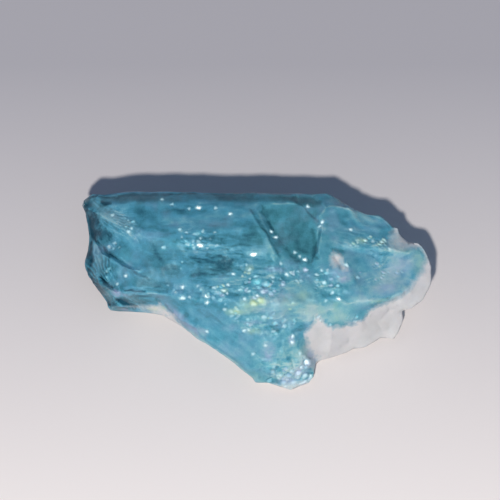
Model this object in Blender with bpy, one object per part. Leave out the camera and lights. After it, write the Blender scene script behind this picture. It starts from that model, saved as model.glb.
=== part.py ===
"""A rough piece of aqua aura quartz: one broken shard of rock crystal, lying on its flattest side.

The stone is set out as a drawing of its upper side, made looking 20 degrees off the vertical from the
front. In it u runs along the stone to the right, v runs up the sheet and z is the height above the table,
all in millimetres. Sharp edges are drawn as lines of points. A skin of small triangles is stretched
between them, the way broken quartz curves between its edges, and then roughened where the real stone is
splintered. The underside is set out in plan, and shares the rim with the upper side.
"""

import math

import bpy
import numpy as np
from mathutils.geometry import delaunay_2d_cdt

MM = 0.001
DRAWING_TILT = math.radians(20)
GRAIN = 0.62  # mm, the side of a triangle of the skin
LINE_CLEARANCE = 0.55  # in grains, how near to a line the skin's own points may come
GRID_SHAKE = 0.12  # in grains, how uneven the skin's own points lie
SKIN_ROUNDS = 900  # of evening out, until the skin is at rest
SAME_POINT = 0.00001  # mm
SEED = 11

# The rim is the stone's outline in the drawing: (u, v, z), clockwise from the tip at the far left.
RIM = [
    # the far side of the shaft, long and straight
    (-17.5, 8.6, 4.6), (-17.3, 9.1, 5.4), (-16.9, 9.4, 6.0), (-16.4, 9.7, 6.4), (-15.2, 9.7, 6.6),
    (-13.8, 9.9, 6.8), (-12.1, 10.0, 7.0), (-9.2, 10.0, 7.1), (-5.7, 9.9, 7.2), (-2.1, 9.8, 7.2),
    (0.8, 9.8, 7.2), (3.9, 9.8, 7.0), (5.5, 9.8, 6.9), (7.0, 9.8, 6.8), (7.8, 9.4, 6.7),
    # the right lobe, with bites out of its far edge
    (8.8, 8.8, 6.7), (9.8, 8.2, 6.7), (10.9, 7.8, 6.6), (12.4, 7.5, 6.5), (13.1, 7.0, 6.4),
    (13.6, 6.5, 6.3), (14.1, 6.3, 6.2), (14.3, 5.7, 6.0), (14.8, 5.2, 5.8), (15.2, 4.9, 5.8),
    (16.1, 4.8, 5.8), (16.5, 4.5, 5.8), (16.9, 3.9, 5.6), (17.2, 3.2, 5.5), (17.4, 2.4, 5.3),
    (17.4, 1.6, 5.0), (17.4, 0.8, 4.6), (17.1, 0.1, 4.2), (16.6, -0.9, 3.8), (15.6, -1.6, 3.6),
    (14.8, -1.8, 3.4),
    # the foot under it
    (14.6, -2.0, 2.2), (14.7, -2.8, 1.6), (14.4, -3.6, 1.2), (13.8, -4.7, 0.7), (12.9, -4.7, 0.7),
    (12.4, -4.7, 0.8), (11.8, -5.1, 0.7), (10.8, -5.6, 0.7), (9.7, -5.7, 0.8), (9.2, -6.0, 0.7),
    (7.9, -6.5, 0.7), (7.0, -6.8, 0.8), (6.0, -7.0, 1.2),
    # the near lobe
    (5.8, -7.7, 1.4), (5.7, -8.5, 1.2), (5.2, -9.1, 1.0), (4.2, -9.4, 0.8), (3.4, -9.8, 0.7),
    (2.1, -9.4, 0.9), (1.2, -9.1, 1.1), (-0.1, -9.0, 1.4), (-0.4, -8.6, 1.7),
    # the slanting near edge of the shaft
    (-1.2, -8.0, 2.2), (-2.3, -7.1, 2.6), (-3.4, -6.3, 3.0), (-4.1, -5.8, 3.2), (-5.2, -5.1, 3.4),
    (-6.0, -4.6, 3.5), (-6.8, -4.0, 3.5), (-7.9, -3.2, 3.4), (-8.7, -2.7, 3.2), (-9.2, -2.4, 3.0),
    (-10.4, -2.2, 2.6), (-12.1, -2.1, 2.4), (-13.8, -2.0, 2.2), (-14.6, -1.9, 2.2),
    # the broken left end
    (-14.9, -1.6, 2.4), (-15.0, -1.1, 2.6), (-15.6, -0.2, 3.0), (-16.4, 0.8, 3.3), (-16.8, 1.5, 3.5),
    (-17.1, 2.4, 3.7), (-17.1, 3.1, 3.8), (-16.9, 4.2, 3.9), (-16.8, 5.3, 4.0), (-16.9, 6.8, 4.2),
    (-17.1, 7.8, 4.4),
]

# The upper side's edges, each a line of (u, v, z). Lines meet in points that they both name.
UPPER_EDGES = {
    "far crest of the shaft": [
        (-16.4, 9.7, 6.4), (-14.6, 8.6, 7.8), (-12.2, 8.9, 8.2), (-9.2, 9.0, 8.4), (-5.7, 9.0, 8.5),
        (-1.1, 9.0, 8.5), (0.7, 9.0, 8.3), (1.6, 9.0, 8.3), (4.2, 8.8, 8.1), (5.6, 9.1, 7.6),
        (7.0, 9.8, 6.8),
    ],
    "ridge from the tip along the shaft": [
        (-17.5, 8.6, 4.6), (-16.5, 8.1, 6.2), (-15.6, 7.6, 7.0), (-14.7, 7.2, 7.7), (-13.1, 6.5, 8.5),
        (-11.6, 6.0, 8.9), (-8.6, 5.8, 9.3), (-5.1, 6.0, 9.4), (-1.6, 6.2, 9.3), (0.0, 6.9, 9.1),
    ],
    "foot of the broken end's upper crack": [
        (-16.8, 5.3, 4.0), (-16.1, 5.0, 5.2), (-15.2, 4.05, 6.2), (-14.0, 3.35, 6.95), (-12.6, 2.65, 7.75),
        (-11.5, 2.1, 8.25),
    ],
    "lip of the broken end's upper crack": [
        (-16.1, 5.0, 5.2), (-15.3, 3.7, 6.65), (-14.1, 3.0, 7.45), (-12.7, 2.3, 8.15), (-11.5, 2.1, 8.25),
    ],
    "edge of the broken end": [(-16.1, 5.0, 5.2), (-16.2, 3.6, 5.4), (-15.9, 1.8, 5.2)],
    "foot of the broken end's lower crack": [
        (-15.9, 1.8, 5.2), (-15.2, 1.25, 5.3), (-14.4, 0.6, 5.6), (-13.9, -0.1, 6.3),
    ],
    "lip of the broken end's lower crack": [
        (-15.9, 1.8, 5.2), (-15.45, 0.9, 5.7), (-14.65, 0.25, 6.1), (-13.9, -0.1, 6.3),
    ],
    "rib to the broken end's rim": [(-17.1, 3.1, 3.8), (-16.5, 2.5, 4.6), (-15.9, 1.8, 5.2)],
    "splinter at the lower left corner": [(-13.9, -0.1, 6.3), (-14.6, -1.4, 3.4), (-14.9, -1.6, 2.4)],
    "splinter's right edge": [(-13.9, -0.1, 6.3), (-12.0, -1.4, 3.8)],
    "hollow behind the splinter": [(-13.6, -0.75, 4.3), (-12.9, -1.15, 3.7)],
    "near undercut": [
        (-14.6, -1.4, 3.4), (-12.0, -1.4, 3.8), (-10.7, -1.2, 4.3), (-9.3, -1.5, 4.3), (-8.1, -2.4, 4.4),
        (-7.2, -3.0, 4.5), (-6.0, -3.6, 4.7), (-4.1, -4.9, 4.4), (-2.1, -6.4, 3.7), (-0.6, -7.8, 2.8),
        (0.6, -8.5, 2.1),
    ],
    "near crest of the stone": [
        (-13.9, -0.1, 6.3), (-13.0, 0.0, 6.7), (-11.1, 0.0, 7.1), (-9.1, -0.3, 7.4), (-7.1, -0.6, 7.6),
        (-4.8, -0.8, 7.8), (-2.1, -1.0, 7.8), (0.6, -1.2, 7.7), (2.9, -1.2, 7.6), (4.9, -1.0, 7.6),
        (6.9, -0.8, 7.5), (8.9, -1.2, 7.3), (10.2, -0.9, 7.3), (11.6, -0.9, 7.0), (13.0, -0.7, 6.8),
        (14.4, 0.0, 6.5), (15.4, 0.7, 6.2), (16.2, 1.6, 5.9), (16.6, 2.6, 5.8), (16.5, 3.6, 5.8),
        (16.1, 4.8, 5.8),
    ],
    "long ledge, top": [
        (-7.8, 5.1, 9.2), (-6.4, 4.7, 9.15), (-5.3, 4.6, 9.1), (-3.4, 4.4, 9.0), (-1.6, 4.2, 8.8),
    ],
    "long ledge, foot": [
        (-7.8, 5.1, 9.2), (-6.4, 4.35, 8.75), (-5.3, 4.25, 8.7), (-3.4, 4.15, 8.65), (-1.6, 4.2, 8.8),
    ],
    "short ledge, top": [(-1.2, 3.8, 8.6), (0.0, 3.75, 8.65), (1.0, 3.5, 8.5)],
    "short ledge, foot": [(-1.2, 3.8, 8.6), (0.0, 3.45, 8.25), (1.0, 3.5, 8.5)],
    "top of the slanting step": [
        (-1.1, 9.0, 8.5), (-0.8, 8.3, 8.8), (0.0, 6.9, 9.1), (0.8, 5.9, 9.2), (1.3, 4.7, 9.1),
        (1.7, 3.8, 8.9), (2.3, 3.4, 8.5),
    ],
    "foot of the slanting step": [
        (0.7, 9.0, 8.3), (0.6, 7.9, 8.1), (1.6, 6.3, 8.15), (2.6, 4.9, 8.15), (2.9, 4.0, 8.1),
        (3.5, 3.1, 8.1),
    ],
    "right edge of the sunk window": [
        (4.2, 8.8, 8.1), (5.2, 7.9, 7.9), (6.0, 6.8, 7.8), (6.2, 6.0, 7.8), (5.9, 4.6, 7.85),
        (5.7, 3.6, 7.9), (4.7, 3.0, 8.0), (3.5, 3.1, 8.1), (2.3, 3.4, 8.5),
    ],
    "shoulder of the right lobe": [
        (9.8, 8.2, 6.7), (9.1, 8.3, 7.5), (8.4, 8.5, 7.8), (7.3, 8.5, 8.0), (6.7, 8.1, 8.1),
        (6.3, 7.5, 8.2), (6.5, 6.3, 8.25), (6.3, 5.2, 8.3), (6.1, 4.0, 8.3), (6.3, 3.2, 8.2),
    ],
    "top of the lobe's step": [
        (7.3, 4.4, 8.2), (8.1, 4.6, 8.1), (8.8, 4.7, 8.0), (9.9, 4.5, 7.9), (11.5, 4.2, 7.6),
        (13.4, 4.2, 7.1), (14.8, 3.9, 6.6), (16.0, 4.1, 6.0),
    ],
    "foot of the lobe's step": [
        (7.3, 4.4, 8.2), (8.4, 4.1, 7.7), (9.9, 4.0, 7.4), (11.5, 3.6, 7.0), (12.4, 3.0, 6.8),
        (13.6, 3.5, 6.6), (14.9, 3.4, 6.2), (16.0, 4.1, 6.0),
    ],
    "top of the cross break": [
        (9.0, 2.9, 8.0), (9.5, 2.0, 7.95), (9.8, 1.1, 7.85), (10.1, 0.1, 7.7), (10.2, -0.9, 7.3),
    ],
    "foot of the cross break": [
        (9.0, 2.9, 8.0), (9.8, 2.0, 7.5), (10.1, 1.1, 7.4), (10.4, 0.1, 7.2), (10.2, -0.9, 7.3),
    ],
    "bare chip": [
        (7.4, 3.5, 8.2), (7.9, 3.9, 8.1), (8.4, 3.4, 8.1), (8.8, 2.4, 8.0), (8.3, 2.1, 8.0),
        (7.8, 2.6, 8.1), (7.4, 3.5, 8.2),
    ],
    "bed of the chip": [(7.9, 3.3, 7.8), (8.3, 2.6, 7.75)],
    "top of the near ledge": [(-2.4, -2.8, 6.6), (-0.4, -3.1, 6.5), (1.6, -3.3, 6.3), (3.4, -3.6, 6.0)],
    "foot of the near ledge": [
        (-2.4, -2.8, 6.6), (-2.0, -3.3, 5.9), (-0.3, -3.6, 5.8), (1.5, -3.9, 5.6), (3.4, -3.6, 6.0),
    ],
    "near lobe, upper brow": [
        (0.9, -4.9, 5.3), (2.6, -5.2, 5.1), (4.0, -5.6, 4.6), (4.8, -6.6, 3.8), (5.0, -7.6, 2.9),
    ],
    "near lobe, lower brow": [(0.2, -7.0, 3.9), (1.8, -7.3, 3.8), (3.2, -7.4, 3.6), (5.0, -7.6, 2.9)],
    "top of the bare apron": [
        (4.7, -4.4, 5.0), (5.5, -3.0, 5.8), (7.3, -3.0, 5.5), (9.0, -2.7, 5.3), (10.4, -2.6, 5.0),
        (11.2, -1.9, 5.3), (13.0, -1.5, 4.9), (14.8, -1.2, 4.4),
    ],
    "valley beside the near lobe": [(4.7, -4.4, 5.0), (5.2, -5.6, 3.2), (6.0, -7.0, 1.2)],
    "rib down the bare apron": [(7.3, -3.0, 5.5), (7.5, -4.6, 4.0), (7.3, -5.8, 2.6), (7.0, -6.8, 0.8)],
    "dip down the bare apron": [(9.0, -2.7, 5.3), (9.3, -4.2, 2.9), (9.2, -5.2, 1.6), (9.2, -6.0, 0.7)],
    "top of the foot": [
        (14.8, -1.8, 3.4), (13.3, -1.9, 3.4), (11.8, -3.4, 2.6), (10.5, -5.2, 1.3), (9.7, -5.7, 0.8),
    ],
}

# The underside in plan: (x, y, z) in millimetres, seen from below. The stone stands on BED.
BED = [
    (-13.0, -0.4, 0.0), (-13.2, 3.2, 0.0), (-9.5, 5.4, 0.0), (0.0, 5.7, 0.0), (6.3, 5.3, 0.0),
    (10.8, 2.8, 0.0), (13.2, -0.6, 0.0), (12.9, -3.6, 0.0), (8.6, -5.6, 0.0), (4.9, -8.6, 0.0),
    (1.9, -9.4, 0.0), (-3.2, -5.8, 0.0), (-8.4, -1.7, 0.0), (-13.0, -0.4, 0.0),
]
UNDER_EDGES = {
    "lower edge of the far side": [
        (-15.9, 5.4, 2.8), (-13.8, 6.9, 3.4), (-9.5, 7.3, 3.5), (0.0, 7.2, 3.3), (6.6, 7.0, 3.2),
        (9.4, 5.6, 3.3), (12.1, 4.3, 3.0), (14.9, 1.9, 2.7), (15.6, -0.6, 1.9),
    ],
    "lower edge of the left end": [(-15.9, 5.4, 2.8), (-15.7, 2.4, 1.9), (-14.2, -1.2, 1.0)],
    "far corner, left": [(-9.5, 7.3, 3.5), (-9.5, 5.4, 0.0)],
    "far corner, right": [(6.6, 7.0, 3.2), (6.3, 5.3, 0.0)],
    "right corner": [(12.1, 4.3, 3.0), (10.8, 2.8, 0.0)],
}

# Where the upper side is splintered: (u, v, reach, height of the splinters), all in millimetres.
SPLINTERED = [
    (-7.0, -0.4, 2.2, 0.16), (-3.6, -0.2, 2.4, 0.20), (0.2, 0.2, 2.6, 0.26), (3.0, 0.8, 2.6, 0.26),
    (6.0, -0.6, 2.2, 0.20), (8.0, 1.0, 2.2, 0.18), (-5.4, 3.6, 2.2, 0.14), (-1.8, 2.8, 2.0, 0.16),
    (1.8, -2.6, 2.6, 0.22), (4.4, -3.0, 2.2, 0.20), (3.0, -7.0, 2.8, 0.30), (5.0, -8.2, 2.0, 0.30),
    (0.8, -8.0, 2.2, 0.22), (-12.4, 7.0, 2.0, 0.18), (12.6, 3.8, 2.0, 0.14), (10.2, 5.4, 1.8, 0.12),
]
FLAKE_SIDE = 1.7  # mm between the flakes that have sprung off a splintered patch
FLAKE_SHAKE = 0.45  # in sides, how unevenly the flakes lie
FLAKE_TILT = 0.35  # the steepest slope of a flake's bed
FLAKE_DROP = 0.25  # mm, how much deeper one flake is than another
FLAKE_HOLLOW = 0.13  # how fast a flake's bed curves up around its lowest point, per mm
CRUMB_SHARE = 0.4  # how much of a splintered patch's relief is crumbs as small as a grain
END_ROUGHNESS = 0.14  # mm, below the rim at both broken ends; the long sides are flat crystal faces
END_START = 9.5  # mm from the middle, where the broken ends begin
BED_CLEARANCE = 0.4  # mm, the lowest part of the ends stays smooth

# Curved ripples left by the break: (u, v, first radius, last radius, wave length, height), in mm.
RIPPLES = [
    (8.6, 4.2, 1.6, 8.6, 1.7, 0.055),
    (12.4, 9.6, 2.0, 5.6, 1.5, 0.045),
    (-17.2, -1.6, 7.2, 13.5, 2.3, 0.050),
]
HACKLE_ROOT = (-13.9, -0.1)  # the fan of fine ridges on the broken end spreads from here
HACKLE_START = 1.2  # mm from the root, where the ridges reach their full height
HACKLE_REACH = 4.6  # mm
HACKLE_RIGHT = 0.4  # mm to the right of the root, where the fan stops
HACKLE_COUNT = 13
HACKLE_HEIGHT = 0.11  # mm


def in_plan(point):
    """The drawing's (u, v, z) as the row's (x, y, z), still in millimetres."""
    u, v, z = point
    return (u, (v - z * math.sin(DRAWING_TILT)) / math.cos(DRAWING_TILT), z)


def divided(line, closed=False):
    """The line with points added so that no step is longer than a grain."""
    ends = line[1:] + line[:1] if closed else line[1:]
    points = []
    for start, end in zip(line, ends):
        steps = max(1, math.ceil(math.dist(start, end) / GRAIN))
        for i in range(steps):
            points.append(tuple(a + (b - a) * i / steps for a, b in zip(start, end)))
    if not closed:
        points.append(line[-1])
    return points


def inside(points, outline):
    """Which of the flat points lie inside the closed outline."""
    x, y = points[:, 0], points[:, 1]
    found = np.zeros(len(points), bool)
    for (ax, ay), (bx, by) in zip(outline, np.roll(outline, -1, axis=0)):
        if ay != by:
            crosses = (ay > y) != (by > y)
            found ^= crosses & (x < (bx - ax) * (y - ay) / (by - ay) + ax)
    return found


def scattered(outline, taken, random):
    """Points on a slightly uneven triangular grid, inside the outline and clear of those taken."""
    low, high = outline.min(axis=0), outline.max(axis=0)
    row_height = GRAIN * math.sqrt(3) / 2
    rows = np.arange(low[1], high[1], row_height)
    columns = np.arange(low[0], high[0], GRAIN)
    grid = np.array([(x + GRAIN / 2 * (i % 2), y) for i, y in enumerate(rows) for x in columns])
    grid += random.uniform(-GRID_SHAKE, GRID_SHAKE, grid.shape) * GRAIN
    grid = grid[inside(grid, outline)]
    gaps = np.linalg.norm(grid[:, None] - taken[None], axis=2).min(axis=1)
    return grid[gaps > LINE_CLEARANCE * GRAIN]


def held_points(rim, edges):
    """(points, sides) of the rim and all edges together. Lines that name the same point share it."""
    points = list(rim)
    number = {tuple(np.round(p[:2], 3)): i for i, p in enumerate(rim)}
    sides = [(i, (i + 1) % len(rim)) for i in range(len(rim))]
    for line in edges:
        line_numbers = []
        for point in divided(line):
            key = tuple(np.round(point[:2], 3))
            if key not in number:
                number[key] = len(points)
                points.append(point)
            line_numbers.append(number[key])
        sides += list(zip(line_numbers, line_numbers[1:]))
    return np.array(points), sides


def evened(heights, free, triangles):
    """The heights, with each free one brought to the mean of its neighbours', as in a soap film."""
    sides = np.vstack([triangles[:, [0, 1]], triangles[:, [1, 2]], triangles[:, [2, 0]]])
    sides = np.unique(np.sort(sides, axis=1), axis=0)
    starts, stops = np.concatenate([sides, sides[:, ::-1]]).T
    neighbours = np.bincount(starts, minlength=len(heights))
    for _ in range(SKIN_ROUNDS):
        total = np.bincount(starts, weights=heights[stops], minlength=len(heights))
        heights[free] = (total / neighbours)[free]
    return heights


def stretched_skin(rim, edges, random):
    """(points, triangles) of a skin over the rim's flat outline, held at the rim and at every edge.

    The rim's points come first, in order.
    """
    held, sides = held_points(rim, edges)
    count = len(rim)
    loose = scattered(held[:count, :2], held[:, :2], random)
    flat = [tuple(p) for p in np.vstack([held[:, :2], loose])]
    made = delaunay_2d_cdt(flat, sides, [list(range(count))], 1, SAME_POINT)
    places, triangles, origins = np.array(made[0]), np.array(made[2]), made[3]
    heights = np.full(len(places), held[:, 2].mean())
    free = np.ones(len(places), bool)
    place_of = np.zeros(len(held), int)
    for i, sources in enumerate(origins):
        for source in sources:
            if source < len(held):
                heights[i] = held[source, 2]
                free[i] = False
                place_of[source] = i
    heights = evened(heights, free, triangles)
    order = np.concatenate([place_of[:count], np.setdiff1d(np.arange(len(places)), place_of[:count])])
    renumbered = np.empty(len(places), int)
    renumbered[order] = np.arange(len(places))
    return np.column_stack([places, heights])[order], renumbered[triangles]


def flaked(places, random):
    """Heights, from -1 to 1, of a surface of small hollow flake scars that lean every way."""
    low = places.min(axis=0) - FLAKE_SIDE
    high = places.max(axis=0) + FLAKE_SIDE
    rows = np.arange(low[1], high[1], FLAKE_SIDE)
    columns = np.arange(low[0], high[0], FLAKE_SIDE)
    centres = np.array([(x, y) for y in rows for x in columns])
    centres += random.uniform(-FLAKE_SHAKE, FLAKE_SHAKE, centres.shape) * FLAKE_SIDE
    lean = random.uniform(-FLAKE_TILT, FLAKE_TILT, centres.shape)
    drop = random.uniform(0, FLAKE_DROP, len(centres))
    offsets = places[:, None] - centres[None]
    beds = (offsets * lean).sum(axis=2) + (offsets**2).sum(axis=2) * FLAKE_HOLLOW - drop
    lowest = beds.min(axis=1)
    lowest -= lowest.mean()
    return lowest / np.abs(lowest).max()


def splinter_height(places):
    """How high the splinters stand at each place: full over the inner half of a patch's reach."""
    height = np.zeros(len(places))
    for u, v, reach, most in SPLINTERED:
        share = 1 - np.hypot(places[:, 0] - u, places[:, 1] - v) / reach
        height = np.maximum(height, most * np.clip(share * 2, 0, 1))
    return height


def rippled(places):
    """Heights of the curved ripples, which swell and die away between their first and last radius."""
    height = np.zeros(len(places))
    for u, v, first, last, wave, most in RIPPLES:
        radius = np.hypot(places[:, 0] - u, places[:, 1] - v)
        swell = np.clip((radius - first) * (last - radius) * 4 / (last - first) ** 2, 0, 1)
        height += most * swell * np.sin(radius / wave * math.tau)
    return height


def hackled(places):
    """Heights of the fan of fine ridges on the broken end."""
    away = places - np.array(HACKLE_ROOT)
    radius = np.hypot(away[:, 0], away[:, 1])
    angle = np.arctan2(away[:, 1], away[:, 0])
    fan = np.clip(radius / HACKLE_START, 0, 1) * np.clip(1 - radius / HACKLE_REACH, 0, 1)
    return HACKLE_HEIGHT * fan * (away[:, 0] < HACKLE_RIGHT) * np.sin(angle * HACKLE_COUNT)


def upper_relief(places, random):
    """The height of splinters, ripples and hackles above the upper skin, in millimetres."""
    flakes = flaked(places, random)
    crumbs = random.uniform(-1, 1, len(places))
    splinters = flakes * (1 - CRUMB_SHARE) + crumbs * CRUMB_SHARE
    return splinters * splinter_height(places) + rippled(places) + hackled(places)


def outward(points, triangles):
    """The unit normal at each point, from the triangles around it."""
    corners = points[triangles]
    normals = np.cross(corners[:, 1] - corners[:, 0], corners[:, 2] - corners[:, 0])
    total = np.zeros_like(points)
    for i in range(3):
        np.add.at(total, triangles[:, i], normals)
    return total / np.linalg.norm(total, axis=1)[:, None]


def stone_mesh():
    """The whole stone as one closed mesh: the upper skin and the underside, sewn at the rim."""
    random = np.random.default_rng(SEED)
    rim = divided(RIM, closed=True)
    drawn, upper_faces = stretched_skin(rim, UPPER_EDGES.values(), random)
    upper = np.array([in_plan(p) for p in drawn])
    under_rim = [in_plan(p) for p in rim]
    under, under_faces = stretched_skin(under_rim, [BED, *UNDER_EDGES.values()], random)
    relief = upper_relief(drawn[:, :2], random)
    relief[: len(rim)] = 0
    upper = upper + outward(upper, upper_faces) * relief[:, None]
    broken = (under[:, 2] > BED_CLEARANCE) & (np.abs(under[:, 0]) > END_START)
    broken[: len(rim)] = False
    bumps = random.uniform(-1, 1, len(under)) * END_ROUGHNESS * broken
    under = under + outward(under, under_faces) * bumps[:, None]
    moved_under = np.where(under_faces >= len(rim), under_faces + len(upper) - len(rim), under_faces)
    points = np.vstack([upper, under[len(rim):]])
    faces = np.vstack([upper_faces, moved_under[:, ::-1]])
    middle = (points.min(axis=0) + points.max(axis=0)) / 2
    points -= (middle[0], middle[1], points[:, 2].min())
    mesh = bpy.data.meshes.new("quartz")
    mesh.from_pydata([tuple(p) for p in points * MM], [], [tuple(f) for f in faces.tolist()])
    return mesh


def aura_finish():
    """Blue-green coated quartz: glassy, and partly see-through."""
    material = bpy.data.materials.new("aura_film")
    material.use_nodes = True
    shader = material.node_tree.nodes["Principled BSDF"]
    shader.inputs["Base Color"].default_value = (0.13, 0.38, 0.50, 1.0)
    shader.inputs["Roughness"].default_value = 0.15
    shader.inputs["Metallic"].default_value = 0.0
    shader.inputs["IOR"].default_value = 1.544
    shader.inputs["Transmission Weight"].default_value = 0.4
    return material


def main():
    for obj in list(bpy.data.objects):
        bpy.data.objects.remove(obj)
    stone = bpy.data.objects.new("quartz", stone_mesh())
    stone.data.materials.append(aura_finish())
    bpy.context.scene.collection.objects.link(stone)


main()
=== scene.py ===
import math

import bmesh
import bpy
import numpy as np
from mathutils import Matrix, Vector


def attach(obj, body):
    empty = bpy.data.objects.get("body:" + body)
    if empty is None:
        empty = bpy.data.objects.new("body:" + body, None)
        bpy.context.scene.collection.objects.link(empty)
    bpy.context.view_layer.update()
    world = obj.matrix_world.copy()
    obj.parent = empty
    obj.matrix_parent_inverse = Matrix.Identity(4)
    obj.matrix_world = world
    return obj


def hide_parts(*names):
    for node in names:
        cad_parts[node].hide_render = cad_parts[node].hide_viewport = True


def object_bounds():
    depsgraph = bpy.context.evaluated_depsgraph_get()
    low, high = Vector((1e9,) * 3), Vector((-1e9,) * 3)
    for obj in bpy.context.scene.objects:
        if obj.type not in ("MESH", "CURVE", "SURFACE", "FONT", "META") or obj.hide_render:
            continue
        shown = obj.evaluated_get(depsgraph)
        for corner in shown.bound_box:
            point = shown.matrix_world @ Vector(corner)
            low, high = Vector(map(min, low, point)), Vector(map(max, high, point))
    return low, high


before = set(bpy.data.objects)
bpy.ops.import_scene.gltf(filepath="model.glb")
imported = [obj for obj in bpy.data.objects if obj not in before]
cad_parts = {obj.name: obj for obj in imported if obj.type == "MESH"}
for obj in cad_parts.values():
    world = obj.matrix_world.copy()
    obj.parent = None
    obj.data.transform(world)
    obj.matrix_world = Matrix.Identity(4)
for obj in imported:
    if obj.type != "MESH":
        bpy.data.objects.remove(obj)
cad_low, cad_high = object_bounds()

# The stone. One broken shard of rock crystal, with curved, stepped breaks above and flat crystal faces along
# both long sides. Its shape is the frame's solid, refined here until the breaks run smoothly between their
# sharp edges. Places on its upper side are mm across (u) and up (v) a sheet that leans back.
MM = 0.001
SHEET_TILT = math.radians(20)
SHEET_LEFT = -17.5  # u of the stone's left tip
SHEET_NEAR = -10.684  # mm in plan from the sheet's v = 0 on the bed to the stone's nearest point
SAME_PLACE = 0.001  # mm, nearer corners of triangles are one
SHARP_EDGE = math.radians(19)
LONGEST_EDGES = (0.33, 0.20)  # mm, longer sides of triangles are halved, in a round for each
FINEST_EDGE = 0.105  # mm, the same in a last round, where the upper side is splintered or marked
LOWEST_HALVED = 0.05  # mm over the bed
LEAST_FACING_UP = 0.1  # for that round, both normals' upward parts together
FAINTEST_LINE = 0.1  # fainter ones get no finer triangles
ROUND_CHIPS = 0.12  # mm, how far the finest triangles reach round a chip
SEED = 5
draw = np.random.default_rng(SEED)

# Where the upper side is splintered: (u, v, half length, half width, turn in degrees, strength).
SPLINTERED = [
    (-6.0, -0.4, 3.4, 1.3, 0, 0.9), (0.4, -0.2, 3.4, 1.5, 0, 1.0), (1.8, 1.6, 2.8, 1.4, 10, 0.9),
    (4.4, 1.6, 1.8, 1.4, -20, 0.9), (7.4, 0.5, 2.6, 1.4, 20, 0.8), (-5.6, 5.0, 1.8, 1.2, 0, 0.8),
    (-2.4, 3.4, 4.0, 1.4, 0, 0.6), (1.0, -3.5, 4.2, 1.6, 0, 0.8), (3.6, -4.6, 1.8, 1.6, 0, 0.7),
    (3.2, -7.7, 3.4, 2.2, -10, 1.0), (-12.6, 6.4, 3.2, 0.9, -32, 0.6), (-15.4, 1.2, 1.6, 3.4, 15, 0.6),
    (11.6, 4.6, 3.6, 1.1, -8, 0.7), (6.5, 6.4, 0.6, 0.8, 0, 0.9), (4.6, 3.4, 1.8, 0.7, -20, 0.7),
]
# Open cracks, darkened as painted shade inside them: the line each runs along, its half width in mm, and its
# strength.
CRACKS = [
    # the edges and slits of the left end, darkened as painted shade where its walls turn from the lamp
    ([(-17.6, 8.5), (-17.1, 9.0), (-16.6, 9.4), (-15.8, 9.6)], 0.16, 0.9),
    ([(-17.4, 8.0), (-16.9, 7.4), (-16.6, 6.5), (-16.4, 5.7), (-16.0, 5.0)], 0.26, 0.9),
    ([(-16.6, 4.9), (-16.5, 4.1), (-16.4, 3.3), (-16.6, 2.6)], 0.24, 0.9),
    ([(-16.9, 2.2), (-16.6, 1.3), (-15.7, 0.0), (-15.1, -0.7), (-14.7, -1.6)], 0.2, 0.9),
    ([(-16.1, 5.3), (-15.0, 4.1), (-13.8, 3.1)], 0.16, 0.6),
    ([(-13.8, 3.1), (-12.6, 2.3), (-10.6, 1.1)], 0.22, 0.28),
    ([(-15.5, 9.1), (-15.2, 8.7), (-14.5, 8.8)], 0.22, 0.8),
    ([(-15.7, 1.5), (-15.0, 1.0), (-14.3, 0.4)], 0.16, 0.9),
    ([(-13.1, 0.1), (-12.2, 0.1), (-11.0, 0.0)], 0.1, 0.9),
    ([(-12.0, -0.4), (-10.4, -0.5)], 0.08, 0.7),
    ([(-11.8, -1.1), (-10.3, -1.0)], 0.09, 0.45),
    ([(-13.7, -0.8), (-13.2, -1.2), (-12.6, -1.4), (-11.8, -1.5)], 0.24, 1.0),
    ([(-14.4, -1.1), (-13.9, -1.6), (-12.8, -1.7)], 0.13, 0.7),
    # under the long top edge, and down the middle
    ([(-15.8, 9.5), (-7.6, 9.8), (0.2, 9.8)], 0.16, 0.45),
    ([(-10.4, 5.0), (-10.1, 4.0), (-9.2, 3.1)], 0.34, 0.22),
    ([(-6.1, 5.0), (-5.0, 4.8)], 0.14, 0.5),
    ([(-5.6, 4.1), (-4.0, 4.0)], 0.12, 0.45),
    ([(-5.2, 2.9), (-3.8, 2.6), (-2.4, 2.8)], 0.4, 0.12),
    ([(-9.4, 0.2), (-6.6, 0.1)], 0.07, 0.35),
    # the two strokes that part the long face from the dark pane, and the pane's lower and right edges
    ([(-0.6, 8.3), (-0.3, 7.7), (0.2, 7.0), (0.8, 6.2), (1.2, 5.5)], 0.16, 0.4),
    ([(1.2, 5.5), (1.6, 4.6), (2.4, 3.3)], 0.14, 0.35),
    ([(0.6, 8.5), (1.0, 7.6), (1.7, 6.1)], 0.24, 0.35),
    ([(3.0, 4.4), (3.8, 3.2), (5.0, 2.9), (5.6, 3.1)], 0.22, 0.35),
    ([(5.5, 6.3), (5.8, 5.3), (5.8, 4.3), (5.5, 3.3)], 0.26, 0.35),
    ([(4.4, 8.8), (5.2, 7.8), (6.2, 6.9)], 0.1, 0.4),
    # the hollow by the right lobe's ridge, and the notch in the rim
    ([(11.4, 4.1), (12.0, 3.8), (13.5, 3.7)], 0.26, 0.5),
    ([(14.5, -2.0), (14.6, -2.8), (14.5, -3.3)], 0.1, 0.5),
    # the seam along the lower face
    ([(-9.1, -1.3), (-8.4, -2.1), (-7.4, -3.0), (-6.0, -3.9)], 0.14, 0.5),
    ([(-6.0, -3.9), (-4.0, -5.7)], 0.07, 0.35),
]
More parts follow.
